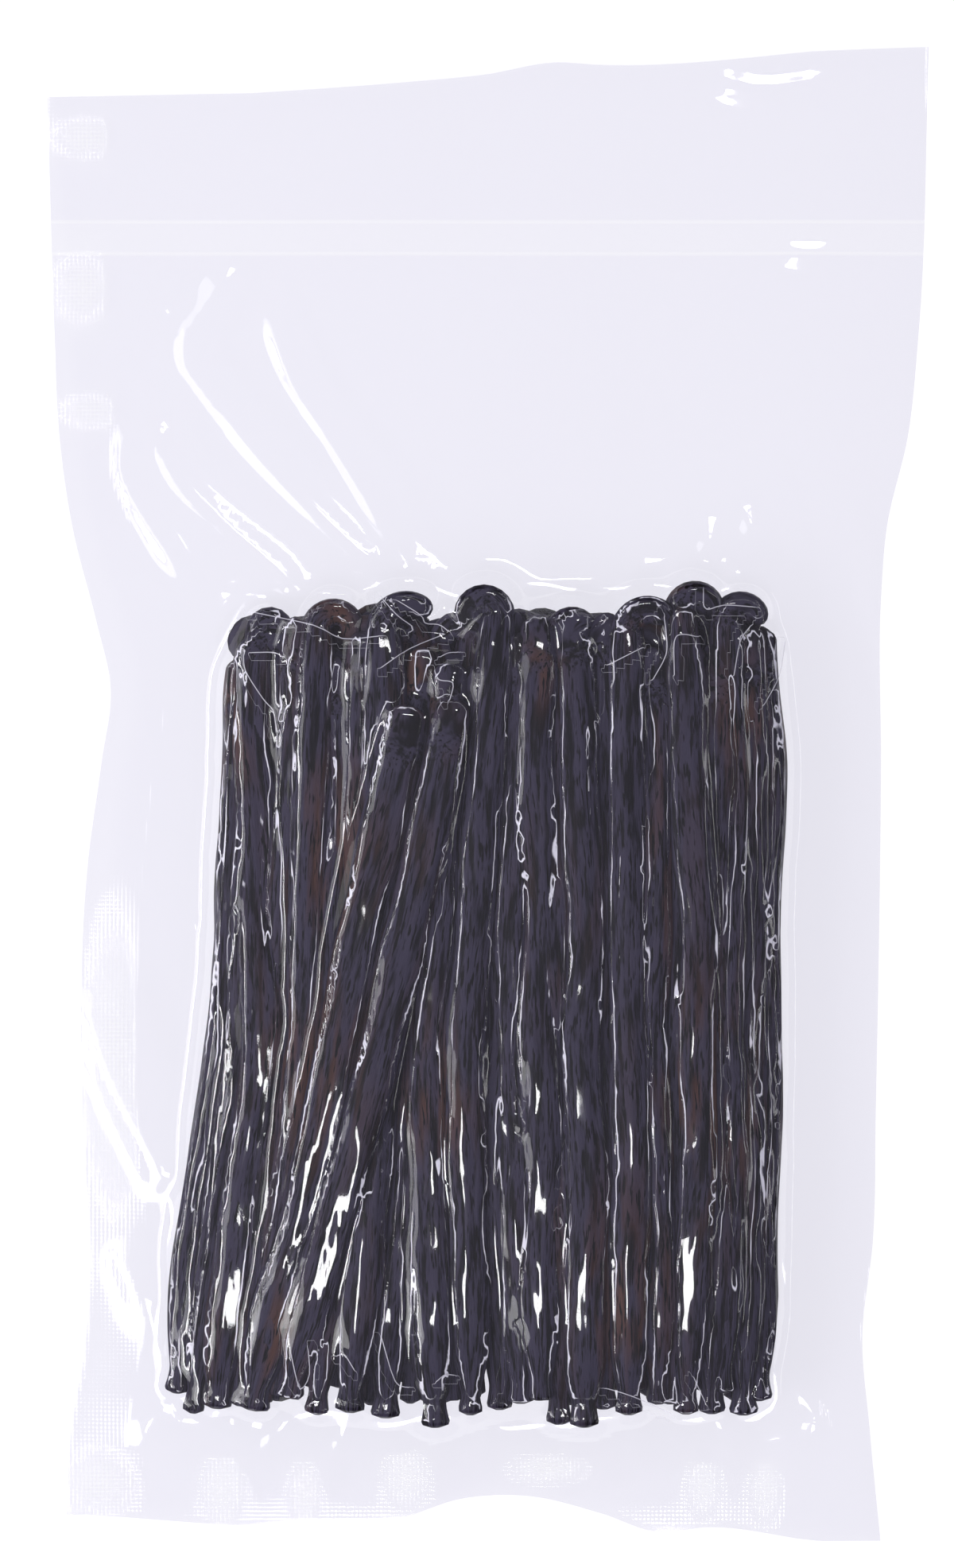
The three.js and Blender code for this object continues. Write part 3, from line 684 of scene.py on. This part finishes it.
class HeightGrid:
    """Heights over the whole pouch at an even spacing."""

    def __init__(self, step):
        self.step = step
        self.x = np.arange(-RIGHT_X - 4, RIGHT_X + 4 + step, step)
        self.y = np.arange(-TOP_Y - 4, TOP_Y + 4 + step, step)
        self.gx, self.gy = np.meshgrid(self.x, self.y)

    def stamp(self, heights, surface, ring_factor, side_factor, facing=1):
        """Raises the heights to a surface. Minus one as facing stamps its underside, upside down."""
        points, normals = fine_points(surface, ring_factor, side_factor)
        up = normals[:, 2] * facing > 0.12
        points, normals = points[up], normals[up]
        column = np.rint((points[:, 0] - self.x[0]) / self.step).astype(int)
        row = np.rint((points[:, 1] - self.y[0]) / self.step).astype(int)
        beside = normals[:, 0] * (self.x[column] - points[:, 0])
        beside += normals[:, 1] * (self.y[row] - points[:, 1])
        np.maximum.at(heights, (row, column), (points[:, 2] - beside / normals[:, 2]) * facing)

    def read(self, heights, x, y):
        """Values at places between the grid's own, by cubic curves both ways."""
        column = np.clip((x - self.x[0]) / self.step, 1, len(self.x) - 2.001)
        row = np.clip((y - self.y[0]) / self.step, 1, len(self.y) - 2.001)
        c, r = column.astype(int), row.astype(int)
        across, down = cubic_shares(column - c), cubic_shares(row - r)
        return sum(across[i] * down[j] * heights[r + j - 1, c + i - 1]
                   for i in range(4) for j in range(4))


def cubic_shares(part):
    """How much each of four values in a row counts at a place between the middle two."""
    square, cube = part ** 2, part ** 3
    return ((2 * square - cube - part) / 2, (3 * cube - 5 * square + 2) / 2,
            (4 * square - 3 * cube + part) / 2, (cube - square) / 2)


def fine_points(surface, ring_factor, side_factor):
    """A pod's points with more rings and sides between, and the direction that each faces."""
    rings, sides, _ = surface.shape
    closed = np.concatenate([surface, surface[:, :1]], 1)
    ring_at = (np.arange((rings - 1) * ring_factor) + 0.5) / ring_factor
    side_at = (np.arange(sides * side_factor) + 0.5) / side_factor
    ring, side = ring_at.astype(int), side_at.astype(int)
    down, over = (ring_at - ring)[:, None, None], (side_at - side)[None, :, None]
    a, b = closed[ring][:, side], closed[ring][:, side + 1]
    c, d = closed[ring + 1][:, side], closed[ring + 1][:, side + 1]
    points = (a * (1 - over) + b * over) * (1 - down) + (c * (1 - over) + d * over) * down
    along = (c - a) * (1 - over) + (d - b) * over
    across = (b - a) * (1 - down) + (d - c) * down
    normals = np.cross(along, across)
    normals /= np.maximum(np.linalg.norm(normals, axis=-1, keepdims=True), 1e-9)
    return points.reshape(-1, 3), normals.reshape(-1, 3)


def neighbour_sum(field):
    """Each place's four neighbours, added up."""
    padded = np.pad(field, 1, mode="edge")
    return padded[:-2, 1:-1] + padded[2:, 1:-1] + padded[1:-1, :-2] + padded[1:-1, 2:]


def blur(field, times):
    for _ in range(times):
        field = (neighbour_sum(field) + 4 * field) / 8
    return field


def drawn_down(obstacle, pull, step):
    """A taut sheet pulled down over an obstacle: coarse grids first, then finer ones."""
    sheet = None
    for factor, rounds in PULL_ROUNDS:
        rows = obstacle.shape[0] // factor * factor
        columns = obstacle.shape[1] // factor * factor
        blocks = obstacle[:rows, :columns].reshape(rows // factor, factor, columns // factor, factor)
        ground = blocks.max((1, 3)) if factor > 1 else obstacle
        pull_here = pull[:rows:factor, :columns:factor] if factor > 1 else pull
        if sheet is None:
            sheet = ground.copy()
        else:
            grown = np.repeat(np.repeat(sheet, 2, 0), 2, 1)
            missing = [(0, max(want - have, 0)) for want, have in zip(ground.shape, grown.shape)]
            rows, columns = ground.shape
            grown = np.pad(grown, missing, mode="edge")[:rows, :columns]
            sheet = np.maximum(blur(grown, 1), ground)
        sink = pull_here * (step * factor) ** 2 / 4
        for _ in range(rounds):
            sheet = np.maximum(neighbour_sum(sheet) / 4 - sink, ground)
    return sheet


def soft_noise(shape, rng, across, along):
    """Random field between about minus and plus one, smooth over so many cells each way."""
    rows, columns = int(shape[0] / along) + 3, int(shape[1] / across) + 3
    knots = rng.uniform(-1, 1, (rows, columns))
    row, column = np.arange(shape[0]) / along, np.arange(shape[1]) / across
    r, c = row.astype(int), column.astype(int)
    down = smooth_step(0, 1, row - r)[:, None]
    over = smooth_step(0, 1, column - c)[None, :]
    top = knots[r][:, c] * (1 - over) + knots[r][:, c + 1] * over
    low = knots[r + 1][:, c] * (1 - over) + knots[r + 1][:, c + 1] * over
    return top * (1 - down) + low * down


def distance_to_line(gap, step, rng):
    """Signed millimetres to the line where the sheet leaves what it lies on."""
    wobble = 0.012 * soft_noise(gap.shape, rng, 5, 12)
    wobble += 0.008 * soft_noise(gap.shape, rng, 2.5, 5)
    lifted = blur(gap, 1) + wobble
    slope = np.maximum(blur(np.hypot(*np.gradient(lifted, step)), 1), LEAST_SLOPE)
    return np.clip((lifted - LINE_GAP) / slope, -LINE_REACH, LINE_REACH)


def floor_over(flange, away):
    """The flange's height near and outside the bundle's outline, and far below elsewhere."""
    return np.where(away > -6, flange, FAR_BELOW)


def film_heights(surfaces):
    """Heights of both sheets, and the front one's distance to the pods and to its contact line."""
    grid = HeightGrid(GRID_STEP)
    middle = sheet_height(grid.gx, grid.gy)
    top, underneath = np.full_like(middle, FAR_BELOW), np.full_like(middle, FAR_BELOW)
    for surface, _ in surfaces:
        grid.stamp(top, surface, *STAMP_FINENESS)
        grid.stamp(underneath, surface, *STAMP_FINENESS, facing=-1)

    away = outside_bundle(grid.gx, grid.gy)
    lip = LIP_GAP * smooth_step(MOUTH_SEAL_Y + 3, TOP_Y, grid.gy)
    slack = 0.5 + 0.5 * np.sin(grid.gx / 5.3 + 1.2 * np.sin(grid.gx / 9.1)) * np.cos(grid.gx / 13.7)
    past_heads = smooth_step(0, 5, grid.gy - BUNDLE_TOP_Y + 2)
    past_feet = smooth_step(-1, 4, BUNDLE_FOOT_Y - grid.gy)
    slack *= np.maximum(past_heads, past_feet)
    radius = TIGHT_RADIUS + (LOOSE_RADIUS - TIGHT_RADIUS) * slack
    flange = middle + SHEET_HALF_GAP + lip
    ground = np.maximum(top + POD_CLEARANCE, floor_over(flange, away))
    front_sheet = drawn_down(ground, 1 / radius, grid.step)
    gap = np.minimum(front_sheet - ground, FREE_STANDOFF)
    front_sheet = blur(front_sheet, SHEET_BLUR) + creases_at(grid.gx, grid.gy)[0]
    lift_off = distance_to_line(gap, grid.step, np.random.default_rng(SEED + 2))
    over_pods = blur(smooth_step(0.3, 0.9, top - floor_over(flange, away)), 3)
    lift_off = LINE_REACH + (lift_off - LINE_REACH) * smooth_step(0.1, 0.9, over_pods)
    standoff = gap + FREE_STANDOFF * (1 - over_pods)

    flange_under = -(middle - SHEET_HALF_GAP - lip)
    ground_under = np.maximum(underneath + POD_CLEARANCE, floor_over(flange_under, away))
    under = drawn_down(ground_under, 1 / radius, grid.step)
    back_sheet = np.maximum(-under, FLOOR_CLEARANCE)
    return grid, front_sheet, np.minimum(back_sheet, front_sheet - 0.02), standoff, lift_off


def parted(first, middle, last):
    """Places from 0 to 3, with so many even cells in each third."""
    parts = [start + np.arange(count) / count for start, count in enumerate((first, middle, last))]
    return np.concatenate(parts + [[3.0]])


def between_stops(place, stops):
    """Values at places from 0 to 3, with a stop at each whole number."""
    return sum(np.clip(1 - np.abs(place - knot), 0, 1) * stop for knot, stop in enumerate(stops))


def film_places():
    """Places of the film's grid: columns across and rows along, finest over the pods."""
    column, row = np.meshgrid(parted(SIDE_CELLS, ACROSS_CELLS, SIDE_CELLS),
                              parted(MOUTH_CELLS, POD_CELLS, FOOT_CELLS))
    near_x = np.linspace(-RIGHT_X, RIGHT_X, column.shape[1])[None, :] + 0 * row
    top, low = smooth_through(MOUTH_EDGE)(near_x), smooth_through(FOOT_EDGE)(near_x)
    y = between_stops(row, [top, BUNDLE_TOP_Y + END_MARGIN, BUNDLE_FOOT_Y - END_MARGIN, low])
    left, right = bundle_sides(y)
    x = between_stops(column, [smooth_through(LEFT_EDGE)(y), left - SIDE_MARGIN,
                               right + SIDE_MARGIN, smooth_through(RIGHT_EDGE)(y)])
    return x, y


def grid_faces(rows, columns, facing):
    index = np.arange(rows * columns).reshape(rows, columns)
    corners = [index[:-1, :-1], index[1:, :-1], index[1:, 1:], index[:-1, 1:]][::facing]
    return np.stack(corners, -1).reshape(-1, 4).tolist()


def edge_distance(x, y):
    """Millimetres in from the pouch's nearer side edge, and from its foot edge."""
    left = x - smooth_through(LEFT_EDGE)(y)
    right = smooth_through(RIGHT_EDGE)(y) - x
    return np.minimum(left, right), y - smooth_through(FOOT_EDGE)(x)


# Where the seals' embossing is deeper and a painted glint whitens the film: middle x and y, half width
# and half length
SEAL_GLINTS = [
    (-68.3, 111.5, 6.0, 3.5), (-69.1, 85.8, 5.0, 6.0), (-67.8, 64.9, 5.0, 3.0),
    (-63.5, -46.0, 5.0, 24.0), (-66.0, -117.0, 5.5, 5.5), (-45.0, -118.0, 3.2, 5.5),
    (-31.2, -119.0, 2.4, 5.0), (-14.0, -116.0, 3.6, 5.0), (10.2, -114.5, 6.0, 2.4),
    (36.5, -117.5, 2.7, 5.0), (47.0, -118.5, 2.5, 5.0),
]


def glint_share(x, y):
    share = np.zeros_like(x)
    for middle_x, middle_y, half_width, half_length in SEAL_GLINTS:
        across, along = (x - middle_x) / half_width, (y - middle_y) / half_length
        share = np.maximum(share, np.exp(-(across ** 2 + along ** 2)))
    return share


def make_film(surfaces):
    """The pouch's two sheets, which meet along the sides and the foot."""
    grid, front_sheet, back_sheet, standoff, lift_off = film_heights(surfaces)
    x, y = film_places()
    from_side, from_foot = edge_distance(x, y)
    seal = np.maximum(smooth_step(SIDE_SEAL_WIDTH + 0.3, SIDE_SEAL_WIDTH - 0.3, from_side),
                      smooth_step(FOOT_SEAL_WIDTH + 0.3, FOOT_SEAL_WIDTH - 0.3, from_foot))
    front_z, back_z = grid.read(front_sheet, x, y), grid.read(back_sheet, x, y)
    rim = np.zeros_like(x, bool)
    rim[:, 0] = rim[:, -1] = rim[-1, :] = True
    front_z = np.where(rim, (front_z + back_z) / 2 + 0.01, front_z)
    back_z = np.where(rim, (front_z + back_z) / 2 - 0.01, back_z)
    front_values = {
        "standoff": grid.read(blur(standoff, 1), x, y),
        "from_line": grid.read(lift_off, x, y),
        "from_crease": creases_at(x, y)[1],
        "seal": seal,
        # Painted glint: where the seals' film is tinted whiter and its embossing made deeper
        "emboss_and_painted_glint": seal * glint_share(x, y),
    }
    sheets = []
    for name, z, step, facing in (("film_front", front_z, 1, 1), ("film_back", back_z, 2, -1)):
        points = np.stack([x, y, z], -1)[::step, ::step]
        faces = grid_faces(*points.shape[:2], facing)
        sheets.append(new_object(name, points.reshape(-1, 3), faces))
    for key, values in front_values.items():
        attribute = sheets[0].data.attributes.new(key, "FLOAT", "POINT")
        attribute.data.foreach_set("value", values.ravel().astype(np.float32))
    return sheets


# Materials

WHITE = (1.0, 1.0, 1.0, 1)
BLACK_SKIN = (0.004, 0.003, 0.006, 1)
GREY_SKIN = (0.042, 0.036, 0.063, 1)
BROWN_SKIN = (0.080, 0.036, 0.026, 1)
# Painted shade for the skin's fine grooves
GROOVE_SHADE = (0.003, 0.002, 0.003, 1)
SKIN_GLOSS = 0.12

# What one sheet of film lets through where no painted highlight whitens it, and its haze, which also
# paints the white lines
FILM_TINT = (0.944, 0.939, 0.976, 1)
HAZE_AND_PAINTED_LINES = (0.88, 0.86, 0.97, 1)

# The film's gloss: roughness, its share seen straight on, and how much it gains at a slant
GLOSS_ROUGHNESS = 0.065
GLOSS_STRAIGHT = 0.052
GLOSS_GAIN = 0.9

# Embossing of the seals, in radians per mm
WEAVE_WAVES = 9.0

FLOOR_GREY = (0.2, 0.2, 0.2, 1)
FLOOR_GLOW = 0.86


class Nodes:
    """A material's node tree, with short calls to add and join nodes."""

    def __init__(self, name):
        self.material = bpy.data.materials.new(name)
        self.material.use_nodes = True
        self.tree = self.material.node_tree
        self.tree.nodes.clear()

    def add(self, kind, inputs=None, **settings):
        node = self.tree.nodes.new(kind)
        for key, value in settings.items():
            setattr(node, key, value)
        for key, value in (inputs or {}).items():
            if isinstance(value, bpy.types.NodeSocket):
                self.tree.links.new(value, node.inputs[key])
            else:
                node.inputs[key].default_value = value
        return node

    def math(self, operation, *values):
        inputs = dict(enumerate(values))
        return self.add("ShaderNodeMath", inputs, operation=operation).outputs[0]

    def ramp(self, value, low, high, to_low=0.0, to_high=1.0):
        inputs = {"Value": value, "From Min": low, "From Max": high, "To Min": to_low, "To Max": to_high}
        return self.add("ShaderNodeMapRange", inputs, interpolation_type="SMOOTHSTEP").outputs[0]

    def mix_colour(self, share, first, second):
        node = self.add("ShaderNodeMix", data_type="RGBA")
        for socket, value in ((node.inputs[0], share), (node.inputs[6], first), (node.inputs[7], second)):
            if isinstance(value, bpy.types.NodeSocket):
                self.tree.links.new(value, socket)
            else:
                socket.default_value = value
        return node.outputs[2]

    def attribute(self, name):
        return self.add("ShaderNodeAttribute", attribute_name=name)

    def scaled(self, vector, scale):
        node = self.add("ShaderNodeVectorMath", {0: vector, 1: scale}, operation="MULTIPLY")
        return node.outputs[0]

    def noise(self, vector, scale, detail=3.0, roughness=0.5):
        inputs = {"Vector": vector, "Scale": scale, "Detail": detail, "Roughness": roughness}
        return self.add("ShaderNodeTexNoise", inputs).outputs[0]

    def finish(self, shader):
        output = self.add("ShaderNodeOutputMaterial")
        self.tree.links.new(shader, output.inputs["Surface"])
        return self.material


def pod_material():
    """Cured vanilla: near-black brown skin with fine lengthwise wrinkles, and painted shade in their fine
    grooves.
    """
    n = Nodes("cured_pod")
    run = n.attribute("run").outputs["Vector"]
    tone = n.attribute("tone").outputs["Fac"]
    streaks = n.noise(n.scaled(run, (1.0, 1.0, 0.8)), 3.4, 3.0, 0.6)
    fine = n.noise(n.scaled(run, (1.0, 1.0, 0.7)), 8.0, 2.0, 0.6)
    patches = n.noise(run, 1.1, 2.0)
    dark = n.mix_colour(n.ramp(streaks, 0.36, 0.56), BLACK_SKIN, GREY_SKIN)
    brown = n.math("MULTIPLY", n.ramp(patches, 0.44, 0.62), tone)
    colour = n.mix_colour(brown, dark, BROWN_SKIN)
    # Painted shade: the skin is darker where the fine bump dips, in its fine grooves
    colour = n.mix_colour(n.ramp(fine, 0.47, 0.37), colour, GROOVE_SHADE)
    height = n.math("ADD", n.math("MULTIPLY", streaks, 0.5), n.math("MULTIPLY", fine, 0.2))
    bump = n.add("ShaderNodeBump", {"Height": height, "Strength": 0.8, "Distance": 0.0006})
    roughness = n.ramp(fine, 0.3, 0.7, 0.6, 0.42)
    inputs = {"Base Color": colour, "Roughness": roughness, "Normal": bump.outputs[0]}
    skin = n.add("ShaderNodeBsdfPrincipled", inputs)
    skin.inputs["Specular IOR Level"].default_value = SKIN_GLOSS
    return n.finish(skin.outputs[0])


def clear_and_gloss(n, under, normal):
    """What is under the film's gloss, and the gloss, which grows at a slant, alike on both sides."""
    bent = {"Normal": normal} if normal else {}
    gloss = n.add("ShaderNodeBsdfGlossy", {"Color": WHITE, "Roughness": GLOSS_ROUGHNESS, **bent})
    slant = n.add("ShaderNodeLayerWeight", {"Blend": 0.5, **bent}).outputs["Facing"]
    gain = n.math("MULTIPLY", n.math("POWER", slant, 5.0), GLOSS_GAIN)
    share = n.math("ADD", gain, GLOSS_STRAIGHT)
    return n.add("ShaderNodeMixShader", {0: share, 1: under.outputs[0], 2: gloss.outputs[0]}).outputs[0]


def film_material(name, detailed):
    """Clear barrier film: see-through and glossy, with painted highlights: white lines where it meets the
    pods and along its creases, and whiter glints on the seals.
    """
    n = Nodes(name)
    if not detailed:
        clear = n.add("ShaderNodeBsdfTransparent", {"Color": FILM_TINT})
        return n.finish(clear_and_gloss(n, clear, None))
    where = n.add("ShaderNodeTexCoord").outputs["Object"]
    in_mm = n.scaled(where, (1000.0, 1000.0, 1000.0))
    standoff = n.attribute("standoff").outputs["Fac"]
    seal = n.attribute("seal").outputs["Fac"]
    from_line = n.math("ABSOLUTE", n.attribute("from_line").outputs["Fac"])
    from_crease = n.math("ABSOLUTE", n.attribute("from_crease").outputs["Fac"])
    # Painted highlights: thin white lines where the film leaves the pods and along its creases are mixed
    # in as diffuse white haze; the lines also get a small real bump
    patchy = n.ramp(n.noise(n.scaled(in_mm, (0.25, 0.07, 0.0)), 1.0, 2.0), 0.45, 0.60, 0.08, 1.0)
    line = n.ramp(n.math("DIVIDE", from_line, patchy), 0.13, 0.03)
    ridge = n.math("MULTIPLY", n.ramp(from_crease, 0.12, 0.03), 0.7)
    crease = n.math("MAXIMUM", n.math("MULTIPLY", line, n.math("POWER", patchy, 0.5)), ridge)

    places = n.add("ShaderNodeSeparateXYZ", {0: in_mm})
    weave_x = n.math("SINE", n.math("MULTIPLY", places.outputs[0], WEAVE_WAVES))
    weave_y = n.math("SINE", n.math("MULTIPLY", places.outputs[1], WEAVE_WAVES))
    weave = n.math("MULTIPLY", n.math("ADD", weave_x, weave_y), seal)
    # Painted highlights: the seals' glint zones and thin lines along the mouth band's edges tint the film
    # whiter, and the band itself a little lighter; in the glint zones the embossing is also deeper
    emboss_and_painted_glint = n.attribute("emboss_and_painted_glint").outputs["Fac"]
    glint = n.math("MULTIPLY", n.ramp(weave, -1.2, 1.4, 0.35, 1.0), emboss_and_painted_glint)
    from_band = n.math("ABSOLUTE", n.math("SUBTRACT", places.outputs[1], MOUTH_SEAL_Y))
    band = n.ramp(from_band, MOUTH_SEAL_WIDTH / 2 + 0.25, MOUTH_SEAL_WIDTH / 2 - 0.25)
    from_band_edge = n.math("ABSOLUTE", n.math("SUBTRACT", from_band, MOUTH_SEAL_WIDTH / 2))
    band_edge = n.math("MULTIPLY", n.ramp(from_band_edge, 0.5, 0.1), 0.6)
    white = n.math("ADD", band_edge, n.math("MULTIPLY", band, 0.3))
    white = n.math("MINIMUM", n.math("ADD", white, glint), 1.0)

    touching = n.ramp(standoff, 0.12, 0.02)
    ripple = n.noise(n.scaled(in_mm, (1.0, 0.3, 1.0)), 0.45, 1.0)
    ripple_height = n.math("MULTIPLY", ripple, n.math("MULTIPLY", touching, 0.16))
    height = n.math("ADD", n.math("MULTIPLY", line, 0.04), ripple_height)
    height = n.math("ADD", height, n.math("MULTIPLY", weave, n.ramp(emboss_and_painted_glint, 0.0, 1.0, 0.006, 0.1)))
    height = n.math("ADD", height, n.math("MULTIPLY", n.math("ADD", seal, band), -0.05))
    bump = n.add("ShaderNodeBump", {"Height": height, "Strength": 1.0, "Distance": 0.001})
    clear = n.add("ShaderNodeBsdfTransparent", {"Color": n.mix_colour(white, FILM_TINT, WHITE)})
    # The haze colour also paints the white highlight lines; its small fixed share is the film's own haze
    haze_and_painted_lines = n.add("ShaderNodeBsdfDiffuse", {"Color": HAZE_AND_PAINTED_LINES})
    haze_and_painted_line_share = n.math("ADD", n.math("MULTIPLY", crease, 0.85), 0.012)
    hazy_with_painted_lines = n.add("ShaderNodeMixShader", {0: haze_and_painted_line_share, 1: clear.outputs[0], 2: haze_and_painted_lines.outputs[0]})
    return n.finish(clear_and_gloss(n, hazy_with_painted_lines, bump.outputs[0]))


def floor_material():
    n = Nodes("pale_floor")
    surface = n.add("ShaderNodeBsdfPrincipled", {"Base Color": FLOOR_GREY, "Roughness": 0.7})
    surface.inputs["Emission Color"].default_value = WHITE
    surface.inputs["Emission Strength"].default_value = FLOOR_GLOW
    return n.finish(surface.outputs[0])


# Studio

PHOTO_WIDTH_PX = 1200
PHOTO_HEIGHT_PX = 1972
PIXELS_PER_MM = 7.433
POUCH_CENTRE_PX = (614, 998)
CAMERA_DISTANCE = 1200.0
FOCUS_HEIGHT = 8.0
FLOOR_REACH = 3000.0
WORLD_COLOUR = (0.85, 0.83, 1.0, 1)
WORLD_STRENGTH = 0.26

# Lights: name, place, breadth and length, and radiance
LIGHTS = [
    ("left_strip", (-700, -120, 480), (1100, 60), 16),
    ("left_sheet", (-650, 0, 620), (960, 150), 2.6),
    ("low_fold_box", (-560, -370, 590), (350, 320), 3.5),
    ("high_fold_box", (-560, 370, 590), (300, 320), 1.5),
    ("right_strip", (720, 160, 460), (1000, 44), 3.5),
    ("foot_box", (-60, -300, 1040), (150, 220), 20),
    ("mouth_box", (120, 640, 700), (180, 80), 18),
]


def make_camera():
    """A far camera straight above, which sees as much as the photo does."""
    camera = bpy.data.cameras.new("camera")
    camera.sensor_fit = "VERTICAL"
    camera.sensor_height = 36.0
    camera.lens = camera.sensor_height * CAMERA_DISTANCE / (PHOTO_HEIGHT_PX / PIXELS_PER_MM)
    camera.clip_start = 0.01
    camera.clip_end = 20
    holder = bpy.data.objects.new("camera", camera)
    x = (PHOTO_WIDTH_PX / 2 - POUCH_CENTRE_PX[0]) / PIXELS_PER_MM
    y = (POUCH_CENTRE_PX[1] - PHOTO_HEIGHT_PX / 2) / PIXELS_PER_MM
    holder.location = (x * MM, y * MM, (CAMERA_DISTANCE + FOCUS_HEIGHT) * MM)
    bpy.context.scene.collection.objects.link(holder)
    bpy.context.scene.camera = holder


def make_floor():
    points = [(across * FLOOR_REACH, along * FLOOR_REACH, 0)
              for across, along in ((-1, -1), (1, -1), (1, 1), (-1, 1))]
    floor = new_object("floor", points, [[0, 1, 2, 3]], smooth=False)
    floor.location.z = cad_box[0][2] - 0.00002
    floor.data.materials.append(floor_material())


def area_light(name, place, size, radiance):
    """A flat light that faces the pouch, by its radiance."""
    light = bpy.data.lights.new(name, "AREA")
    light.shape = "RECTANGLE"
    light.size, light.size_y = size[0] * MM, size[1] * MM
    light.energy = radiance * math.pi * light.size * light.size_y
    holder = bpy.data.objects.new(name, light)
    bpy.context.scene.collection.objects.link(holder)
    holder.location = [value * MM for value in place]
    direction = -holder.location.normalized()
    holder.rotation_euler = direction.to_track_quat("-Z", "Y").to_euler()


def make_lights():
    world = bpy.data.worlds.new("studio")
    world.use_nodes = True
    background = world.node_tree.nodes["Background"]
    background.inputs["Color"].default_value = WORLD_COLOUR
    background.inputs["Strength"].default_value = WORLD_STRENGTH
    bpy.context.scene.world = world
    for light in LIGHTS:
        area_light(*light)


# Making

def main():
    make_camera()
    make_floor()
    make_lights()
    front, middle, back = make_pods()
    rng = np.random.default_rng(SEED + 1)
    skin = pod_material()
    core = make_core()
    layers = [("pods_front", front), ("pods_middle", middle), ("pods_back", back)]
    pods = [joined_pods(name, surfaces, rng) for name, surfaces in layers]
    for piece in [core] + pods:
        piece.data.materials.append(skin)
        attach(piece, "root")
        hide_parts("pod_bundle")
    for sheet in make_film(front + middle + back):
        sheet.data.materials.append(film_material(sheet.name, detailed=sheet.name == "film_front"))
        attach(sheet, "root")
        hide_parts("pouch_film")
    bpy.context.scene.view_settings.view_transform = "Standard"


main()
bpy.context.view_layer.update()
